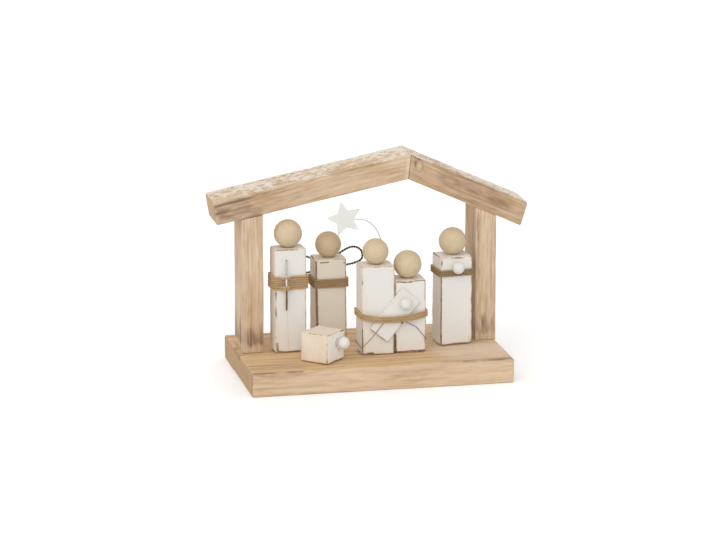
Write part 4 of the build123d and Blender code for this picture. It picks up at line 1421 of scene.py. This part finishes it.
def rounded_loop(half_width, half_depth, radius, count):
    """Even points round a rounded rectangle from the middle of its back by its left side, and their normals.

    A point is the corner that its normal (cos a, sin a) faces plus the radius times the normal, so each
    straight side is the jump from one corner to the next.
    """
    turn = np.linspace(0.5 * math.pi, 2.5 * math.pi, CORNER_STEPS, endpoint=False) + OFF_AXIS
    normal = np.stack([np.cos(turn), np.sin(turn)], axis=-1)
    core = np.array([half_width - radius, half_depth - radius])
    corner = np.sign(normal) * core + radius * normal
    back = np.array([[0.0, half_depth]])
    outline = np.concatenate([back, corner, back])
    flat = np.concatenate([outline, np.zeros((len(outline), 1))], axis=1)
    along = path_length(flat)
    places = np.linspace(0.0, along[-1], count, endpoint=False)
    facing = np.concatenate([[[0.0, 1.0]], normal, [[0.0, 1.0]]])
    points = np.stack([np.interp(places, along, outline[:, axis]) for axis in (0, 1)], axis=-1)
    away = np.stack([np.interp(places, along, facing[:, axis]) for axis in (0, 1)], axis=-1)
    return points, away, places / along[-1]


def winding(size, turns, sag, lift, settings):
    """Path of twine round a block, in the block's own frame, with as many turns as the solid has.

    Round the front and the sides a turn keeps its place among the turns. On the back it climbs by one pitch.
    The ends stand higher than the middle by the sag, as (x / side)^2. lift gives how far the front run stands
    out, from the turn's number and the place across the front.
    """
    stand_off = settings.clearance + settings.diameter / 2
    side, reach = size[0] / 2 + stand_off, size[1] / 2 + stand_off
    points, away, share = rounded_loop(side, reach, settings.corner_radius, LOOP_POINTS)
    turn = np.arange(turns + 2)[:, None] - 1 + np.zeros(len(share))
    x, y = (np.tile(points[:, axis], (turns + 2, 1)) for axis in (0, 1))
    facing = np.tile(away[:, 1], (turns + 2, 1))
    on_back = facing > 0.5
    half_back = np.where(share < 0.5, -0.5 - 0.5 * x / side, 0.5 - 0.5 * x / side)
    step = turn + np.where(on_back, half_back, 0.0)
    z = settings.pitch * (step - (turns - 1) / 2) + sag * (x / side) ** 2
    y = y - np.where(facing < -0.5, lift(turn, x), 0.0)
    path = np.stack([x, y, z], axis=-1).reshape(-1, 3)
    along = (turn + share).ravel()
    tail = TAIL_SHARE * size[0] / (4.0 * (side + reach))
    kept = path[(along > -tail) & (along < turns + tail)]
    return softened(even_path(kept, TWINE_STEP), TWINE_SOFTENING)


# The belt's hump over the staff: half of its flat top, the length of its slopes, and the turns that have it.
STAFF_FLAT = 0.0012
STAFF_SLOPE = 0.0068
STAFF_TURNS = (0, 1, 5)
# The family twine's hump over the infant: places across in shares of half its width, and shares of its lift.
INFANT_HUMP = ((-0.97, -0.63, 0.39, 0.97), (0.0, 1.0, 1.0, 0.0))
# Sides of a ply, thickness of the laid twine over its nominal one, and the stray fibres' number and radius.
PLY_SIDES = 7
TWINE_FULLNESS = 1.06
FIBRES_A_TURN = 36
FIBRE_RADIUS = 0.00006


class STABLE_OT_twine(Operator):
    """Wind the twine round the figures"""

    bl_idname = "stable.twine"
    bl_label = "Twine"

    def execute(self, context):
        settings = settings_of(context, "twine")
        figures = settings_of(context, "figures")
        finish = jute("jute_twine", settings.light_jute, settings.shaded_jute)
        shepherd_axes = upright_axes(figures.shepherd_yaw)
        shepherd_centre, _ = turned_box(shepherd_axes, "shepherd_block")
        staff_across = (sum(box_corners("shepherd_staff")) / 2 - shepherd_centre) @ shepherd_axes[0]

        def flat(turn, x):
            """No hump."""
            return np.zeros_like(x)

        def over_staff(turn, x):
            """A hump with cosine slopes over the staff."""
            share = np.clip((np.abs(x - staff_across) - STAFF_FLAT) / STAFF_SLOPE, 0.0, 1.0)
            hump = settings.staff_lift * (0.5 + 0.5 * np.cos(math.pi * share))
            return np.where(np.isin(turn, STAFF_TURNS), hump, 0.0)

        def over_infant(turn, x):
            """A flat hump over the infant's board."""
            return settings.infant_lift * np.interp(x / x.max(), *INFANT_HUMP)

        family_sag, family_rise = settings.family_sag, settings.family_rise
        # A belt's tint below 1 darkens it: for the angel partly as painted shade from the roof, for the king
        # as tone.
        for node, body, blocks, turns, sag, rise, lift, tint, seed in (
            ("shepherd_belt", "shepherd", ("shepherd_block",), 6, 0.0, 0.0, over_staff, 1.0, 101),
            ("angel_belt", "angel", ("angel_block",), 4, 0.0, 0.0, flat, 0.60, 103),
            ("king_belt", "king", ("king_block",), 3, 0.0, 0.0, flat, 0.40, 105),
            ("family_twine", "family", FAMILY_BLOCKS, 3, family_sag, family_rise, over_infant, 1.0, 107),
        ):
            axes = upright_axes(getattr(figures, body + "_yaw"))
            centre, size = turned_box(axes, *blocks)
            belt, _ = turned_box(axes, node)
            path = winding(size, turns, sag, lift, settings) @ axes
            path = path + np.array([centre[0], centre[1], belt[2] + rise])
            thickness = settings.diameter * TWINE_FULLNESS
            points, faces, along, out = laid_strands(
                path, UP, settings.plies, thickness, settings.lay, PLY_SIDES, seed
            )
            radius, count = settings.diameter / 2, FIBRES_A_TURN * turns
            fuzz = stray_fibres(path, UP, radius, count, settings.fibre_length, FIBRE_RADIUS, seed)
            fuzz_count = len(fuzz[0])
            add_piece(
                node + "_plies", *joined((points, faces), fuzz), body, "jute_twine", finish, (node,),
                along=extended(along, fuzz_count, 0.0), out=extended(out, fuzz_count, 1.0), tint=tint,
            )
        return {"FINISHED"}


# The thread's route on the family's front, in shares of its width and height, and its heights at the corners.
THREAD_LEFT = ((-0.13, 0.415), (-0.36, 0.21))
THREAD_CORNERS = (0.09, 0.10, 0.12, 0.145)
THREAD_RIGHT = ((0.343, 0.295), (0.195, 0.36), (0.09, 0.41))
# Distance of the thread from the blocks, and from them where it passes over the infant's board.
THREAD_FACE_GAP = 0.00055
THREAD_BOARD_GAP = 0.00455
THREAD_STEP = 0.0003
THREAD_SOFTENING = 9
THREAD_LAY = 0.0026
THREAD_SIDES = 6
# The thread's tie: place on the front, distance from the route, size, points, thickness, the depth of its
# painted shade, and the direction that its tube's turn starts from.
TIE_PLACE = (0.10, 0.368)
TIE_GAP = 0.0022
TIE_RADIUS = 0.0007
TIE_POINTS = 90
TIE_THICKNESS = 0.55
TIE_SHADE = 0.6
TIE_REFERENCE = np.array([0.3, 1.0, 0.2])


def trefoil(count):
    """A closed knot: (sin t + 2 sin 2t, -1.4 sin 3t - 1.5, cos t - 2 cos 2t), with t once round."""
    turn = np.linspace(0.0, math.tau, count)
    across = np.sin(turn) + 2.0 * np.sin(2.0 * turn)
    out = -1.4 * np.sin(3.0 * turn) - 1.5
    up = np.cos(turn) - 2.0 * np.cos(2.0 * turn)
    return np.stack([across, out, up], axis=-1)


class STABLE_OT_thread(Operator):
    """Tie the thin thread round the family"""

    bl_idname = "stable.thread"
    bl_label = "Thread"

    def execute(self, context):
        settings = settings_of(context, "twine")
        axes = upright_axes(settings_of(context, "figures").family_yaw)
        centre, size = turned_box(axes, *FAMILY_BLOCKS)
        foot = np.array([centre[0], centre[1], centre[2] - size[2] / 2])
        side, reach = size[0] / 2 + THREAD_FACE_GAP, size[1] / 2 + THREAD_FACE_GAP

        def front(shares, gap):
            """A point before the front, from shares of the family's width and height."""
            return (shares[0] * size[0], -size[1] / 2 - gap, shares[1] * size[2])

        heights = [share * size[2] for share in THREAD_CORNERS]
        route = np.array([
            *[front(shares, THREAD_BOARD_GAP) for shares in THREAD_LEFT],
            (-side, -reach, heights[0]),
            (-side, reach, heights[1]),
            (side, reach, heights[2]),
            (side, -reach, heights[3]),
            front(THREAD_RIGHT[0], THREAD_FACE_GAP),
            *[front(shares, THREAD_BOARD_GAP) for shares in THREAD_RIGHT[1:]],
        ])
        path = softened(even_path(route, THREAD_STEP), THREAD_SOFTENING)
        diameter = settings.thread_diameter
        points, faces, along, out = laid_strands(path, UP, 2, diameter, THREAD_LAY, THREAD_SIDES, 109)
        # The darker colour of the thread is painted shade between its two plies.
        finish = jute("fine_thread", settings.thread_brown, darker(settings.thread_brown, 0.45))
        tie_middle = np.array(front(TIE_PLACE, THREAD_BOARD_GAP + TIE_GAP))
        tie_path = trefoil(TIE_POINTS) * TIE_RADIUS / 2.0 + tie_middle
        _, normal, binormal = path_frame(tie_path, TIE_REFERENCE)
        tie = tube(tie_path, normal, binormal, diameter * TIE_THICKNESS, PLY_SIDES)
        tie_count = len(tie[0])
        points, faces = joined((points, faces), tie)
        add_piece(
            "family_thread_plies", points @ axes + foot, faces,
            "family", "fine_thread", finish, ("family_thread",),
            along=extended(along, tie_count, 0.0), out=extended(out, tie_count, TIE_SHADE), tint=1.0,
        )
        return {"FINISHED"}


# Rings and sides of the staff, how far it bends, and the turn of its two bends from foot to tip.
STAFF_RINGS = 150
STAFF_SIDES = 12
STAFF_BEND = 0.00012
STAFF_BEND_TURNS = (7.0, 5.0)
# Its thickness: the mean and what it varies by as shares, the changes along it, and the rounding of its ends,
# as a power of the distance from its middle and with the least that it leaves.
STAFF_THICKNESS = 0.93
STAFF_UNEVEN = 0.10
STAFF_CHANGES = 22.0
STAFF_END_POWER = 60
STAFF_END_LEAST = 0.04


class STABLE_OT_staff(Operator):
    """Cut the shepherd's staff"""

    bl_idname = "stable.staff"
    bl_label = "Staff"

    def execute(self, context):
        low, high = box_corners("shepherd_staff")
        radius = (high - low)[0] / 2
        share = np.linspace(0.0, 1.0, STAFF_RINGS)
        first, second = STAFF_BEND_TURNS
        bend = np.stack([np.sin(first * share), np.cos(second * share), np.zeros_like(share)], axis=-1)
        path = (low + high) / 2 + STAFF_BEND * bend
        path[:, 2] = low[2] + share * (high - low)[2]
        rough = fractal_noise(on_line(share * STAFF_CHANGES), 91, 3)
        rounding = 1.0 - (np.abs(share - 0.5) * 2.0) ** STAFF_END_POWER
        rounding = np.sqrt(np.clip(rounding, STAFF_END_LEAST, 1.0))
        thickness = radius * (STAFF_THICKNESS + STAFF_UNEVEN * rough) * rounding
        _, normal, binormal = path_frame(path, np.array([1.0, 0.0, 0.0]))
        points, faces = tube(path, normal, binormal, thickness, STAFF_SIDES)
        height = (points[:, 2] - low[2]) / (high - low)[2]
        add_piece(
            "shepherd_staff_twig", points, faces, "shepherd", "staff_wood",
            staff_wood(settings_of(context, "figures")), ("shepherd_staff",), share=height,
        )
        return {"FINISHED"}


# Wire wings and the star

# A wing's loop from its root and back to it: shares of the reach and of the rise.
WING_LOOP = (
    (0.0, -0.33),
    (0.48, -0.44),
    (0.87, -0.31),
    (1.02, -0.06),
    (1.0, 0.57),
    (0.81, 1.0),
    (0.54, 0.98),
    (0.0, 0.14),
)
WING_STEP = 0.0004
WIRE_SIDES = 9
# The twisted pair's thickness in strands, and how far the direction that its turn starts from leans inward.
PAIR_THICKNESS = 2.2
PAIR_LEAN = 0.8


class STABLE_OT_wings(Operator):
    """Bend the angel's wings from a twisted pair of wires"""

    bl_idname = "stable.wings"
    bl_label = "Wings"

    def execute(self, context):
        settings = settings_of(context, "wire")
        axes = upright_axes(settings_of(context, "figures").angel_yaw)
        centre, size = turned_box(axes, "angel_block")
        finish = twisted_wire(settings)
        shares = np.array(WING_LOOP)
        for node, hand, sweep, drop, droop in (
            ("angel_left_wing", -1.0, settings.left_sweep, settings.left_root_drop, settings.left_droop),
            ("angel_right_wing", 1.0, settings.right_sweep, settings.right_root_drop, 0.0),
        ):
            behind = size[1] / 2 + settings.root_stand
            start = np.array([hand * settings.root_spread, behind, size[2] / 2 - drop])
            out = np.array([hand * math.cos(sweep), math.sin(sweep), 0.0])
            loop = start + shares[:, :1] * (settings.wing_reach * out - droop * UP)
            loop = loop + settings.wing_rise * shares[:, 1:] * UP
            inward = np.array([0.0, -settings.root_stand - settings.socket_depth, 0.0])
            path = spline(np.concatenate([loop[:1] + inward, loop, loop[-1:] + inward]), WING_STEP)
            slanted = unit(np.cross(out, UP) - PAIR_LEAN * out)
            thickness = PAIR_THICKNESS * settings.strand_diameter
            points, faces, _, _ = laid_strands(path, slanted, 2, thickness, settings.twist, WIRE_SIDES, 111)
            add_piece(node + "_pair", points @ axes + centre, faces, "angel", "wing_wire", finish, (node,))
        return {"FINISHED"}


# Rings of each flat face and of the rounded rim, the faces' inner and outer scale, the rim's depth as a
# share, the step along the outline and the number of tips.
STAR_RINGS = 9
STAR_FACE = (0.15, 0.95)
STAR_RIM = 0.04
STAR_STEP = 0.0007
STAR_POINTS = 5


def dress(node, material):
    """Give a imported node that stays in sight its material."""
    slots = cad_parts[node].data.materials
    slots.clear()
    slots.append(material)


class STABLE_OT_star(Operator):
    """Cut the star and finish its wire"""

    bl_idname = "stable.star"
    bl_label = "Star"

    def execute(self, context):
        settings = settings_of(context, "wire")
        right, back, up = upright_axes(settings_of(context, "figures").family_yaw)
        axes = np.array([right, up, -back])
        centre, size = turned_box(axes, "star")
        corners = np.arange(2 * STAR_POINTS + 1)
        radius = np.where(corners % 2, settings.star_inner_share, 1.0) * settings.star_radius
        turn = 0.5 * math.pi + settings.star_turn + corners * math.pi / STAR_POINTS
        ideal = np.stack([radius * np.cos(turn), radius * np.sin(turn), np.zeros(len(turn))], axis=-1)
        offset = (ideal.min(axis=0) + ideal.max(axis=0)) / 2
        outline = even_path(ideal, STAR_STEP)[:-1]
        outline = (np.roll(outline, 1, 0) + 2.0 * outline + np.roll(outline, -1, 0)) / 4
        bend = np.linspace(0.5 * math.pi, -0.5 * math.pi, STAR_RINGS)
        face, level = np.linspace(*STAR_FACE, STAR_RINGS), np.ones(STAR_RINGS)
        scale = np.concatenate([face, 1.0 - STAR_RIM + STAR_RIM * np.cos(bend), face[::-1]])
        depth = np.concatenate([level, np.sin(bend), -level]) * size[2] / 2
        rings = scale[:, None, None] * outline + depth[:, None, None] * UP
        poles = np.array([UP, -UP]) * size[2] / 2
        points = (np.concatenate([rings.reshape(-1, 3), poles]) - offset) @ axes + centre
        faces = ring_faces(len(scale), len(outline))
        add_piece("star_painted", points, faces, "family", "star_paint", smooth_paint(settings), ("star",))
        dress("star_wire", drawn_metal("bright_wire", settings.bright_wire))
        return {"FINISHED"}


class STABLE_OT_fixings(Operator):
    """Finish the screws under the base and the dowels inside the joints"""

    bl_idname = "stable.fixings"
    bl_label = "Screws and dowels"

    def execute(self, context):
        dress("post_screws", drawn_metal("screw_steel", settings_of(context, "wire").steel))
        plain = dowel_wood(settings_of(context, "figures"))
        for node in sorted(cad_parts):
            if node.endswith(("dowel", "dowels")):
                dress(node, plain)
        return {"FINISHED"}


# Stage


class STABLE_OT_stage(Operator):
    """Set up the floor, the light and the camera"""

    bl_idname = "stable.stage"
    bl_label = "Stage"

    def execute(self, context):
        settings = settings_of(context, "stage")
        scene = context.scene
        scene.view_settings.view_transform = "Standard"
        self.add_floor(settings, scene)
        for name in ("key", "back", "side"):
            self.add_sun(name, settings, scene)
        self.add_sky(settings, scene)
        camera = bpy.data.objects.new("camera", bpy.data.cameras.new("camera"))
        camera.data.sensor_width = SENSOR_WIDTH
        camera.data.lens = SENSOR_WIDTH * settings.focal_pixels / PHOTO_WIDTH
        camera.data.clip_end = CLIP_END
        camera.location = settings.camera_place
        toward = Vector(settings.camera_target) - Vector(settings.camera_place)
        camera.rotation_euler = toward.to_track_quat("-Z", "Y").to_euler()
        scene.collection.objects.link(camera)
        scene.camera = camera
        return {"FINISHED"}

    @staticmethod
    def add_floor(settings, scene):
        """A wide pale floor that takes the shadow and glows a little to the camera."""
        finish = Finish("floor")
        seen = finish.node("ShaderNodeLightPath", None, None, "Is Camera Ray")
        pale = finish.node("ShaderNodeBsdfDiffuse", None, {"Color": settings.floor_colour})
        lift = {"Color": (1.0, 1.0, 1.0), "Strength": seen * settings.floor_lift}
        glow = finish.node("ShaderNodeEmission", None, lift)
        both = finish.node("ShaderNodeAddShader", None, {0: pale, 1: glow})
        finish.node("ShaderNodeOutputMaterial", None, {"Surface": both})
        half = settings.floor_reach
        corners = [(-half, -half, 0), (half, -half, 0), (half, half, 0), (-half, half, 0)]
        mesh = bpy.data.meshes.new("floor")
        mesh.from_pydata(corners, [], [(0, 1, 2, 3)])
        mesh.materials.append(finish.material)
        floor = bpy.data.objects.new("floor", mesh)
        scene.collection.objects.link(floor)

    @staticmethod
    def add_sun(name, settings, scene):
        """A soft sun that shines from its direction."""
        light = bpy.data.lights.new(name + "_light", "SUN")
        light.energy = getattr(settings, name + "_strength")
        light.angle = settings.spread
        lamp = bpy.data.objects.new(name + "_light", light)
        direction = Vector(getattr(settings, name + "_direction"))
        lamp.rotation_euler = (-direction).to_track_quat("-Z", "Y").to_euler()
        scene.collection.objects.link(lamp)

    @staticmethod
    def add_sky(settings, scene):
        """Level light from all round, which the camera and shiny surfaces see as white."""
        world = bpy.data.worlds.new("sky")
        world.use_nodes = True
        scene.world = world
        finish = Finish("sky", world.node_tree)
        rays = finish.node("ShaderNodeLightPath")
        outputs = rays.socket.node.outputs
        names = ("Is Camera Ray", "Is Glossy Ray", "Is Transmission Ray")
        camera, glossy, through = (Tap(finish, Finish.find(outputs, name)) for name in names)
        shown = finish.step(camera + glossy + through, 0.0, 1.0)
        strength = settings.sky_strength + shown * (1.0 - settings.sky_strength)
        light = finish.node("ShaderNodeBackground", None, {"Color": (1.0, 1.0, 1.0), "Strength": strength})
        finish.node("ShaderNodeOutputWorld", None, {"Surface": light})


class STABLE_PT_panel(Panel):
    """Buttons for each group of pieces"""

    bl_idname = "STABLE_PT_panel"
    bl_label = "Nativity stable"
    bl_space_type = "VIEW_3D"
    bl_region_type = "UI"
    bl_category = "Stable"

    def draw(self, context):
        for operator in OPERATORS:
            self.layout.operator(operator.bl_idname)


SETTINGS = (
    ("boards", BoardSettings),
    ("figures", FigureSettings),
    ("twine", TwineSettings),
    ("wire", WireSettings),
    ("stage", StageSettings),
)
OPERATORS = (
    STABLE_OT_stage,
    STABLE_OT_boards,
    STABLE_OT_painted_blocks,
    STABLE_OT_ball_heads,
    STABLE_OT_knobs,
    STABLE_OT_twine,
    STABLE_OT_thread,
    STABLE_OT_staff,
    STABLE_OT_wings,
    STABLE_OT_star,
    STABLE_OT_fixings,
)


def register():
    """Register the settings, the operators and the panel."""
    for name, group in SETTINGS:
        bpy.utils.register_class(group)
        setattr(bpy.types.Scene, "stable_" + name, PointerProperty(type=group))
    for operator in OPERATORS:
        bpy.utils.register_class(operator)
    bpy.utils.register_class(STABLE_PT_panel)


def unregister():
    """Take away what register added, in the opposite order."""
    bpy.utils.unregister_class(STABLE_PT_panel)
    for operator in reversed(OPERATORS):
        bpy.utils.unregister_class(operator)
    for name, group in reversed(SETTINGS):
        delattr(bpy.types.Scene, "stable_" + name)
        bpy.utils.unregister_class(group)


def main():
    """Register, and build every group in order."""
    register()
    for operator in OPERATORS:
        group, name = operator.bl_idname.split(".")
        getattr(getattr(bpy.ops, group), name)()


if __name__ == "__main__":
    main()
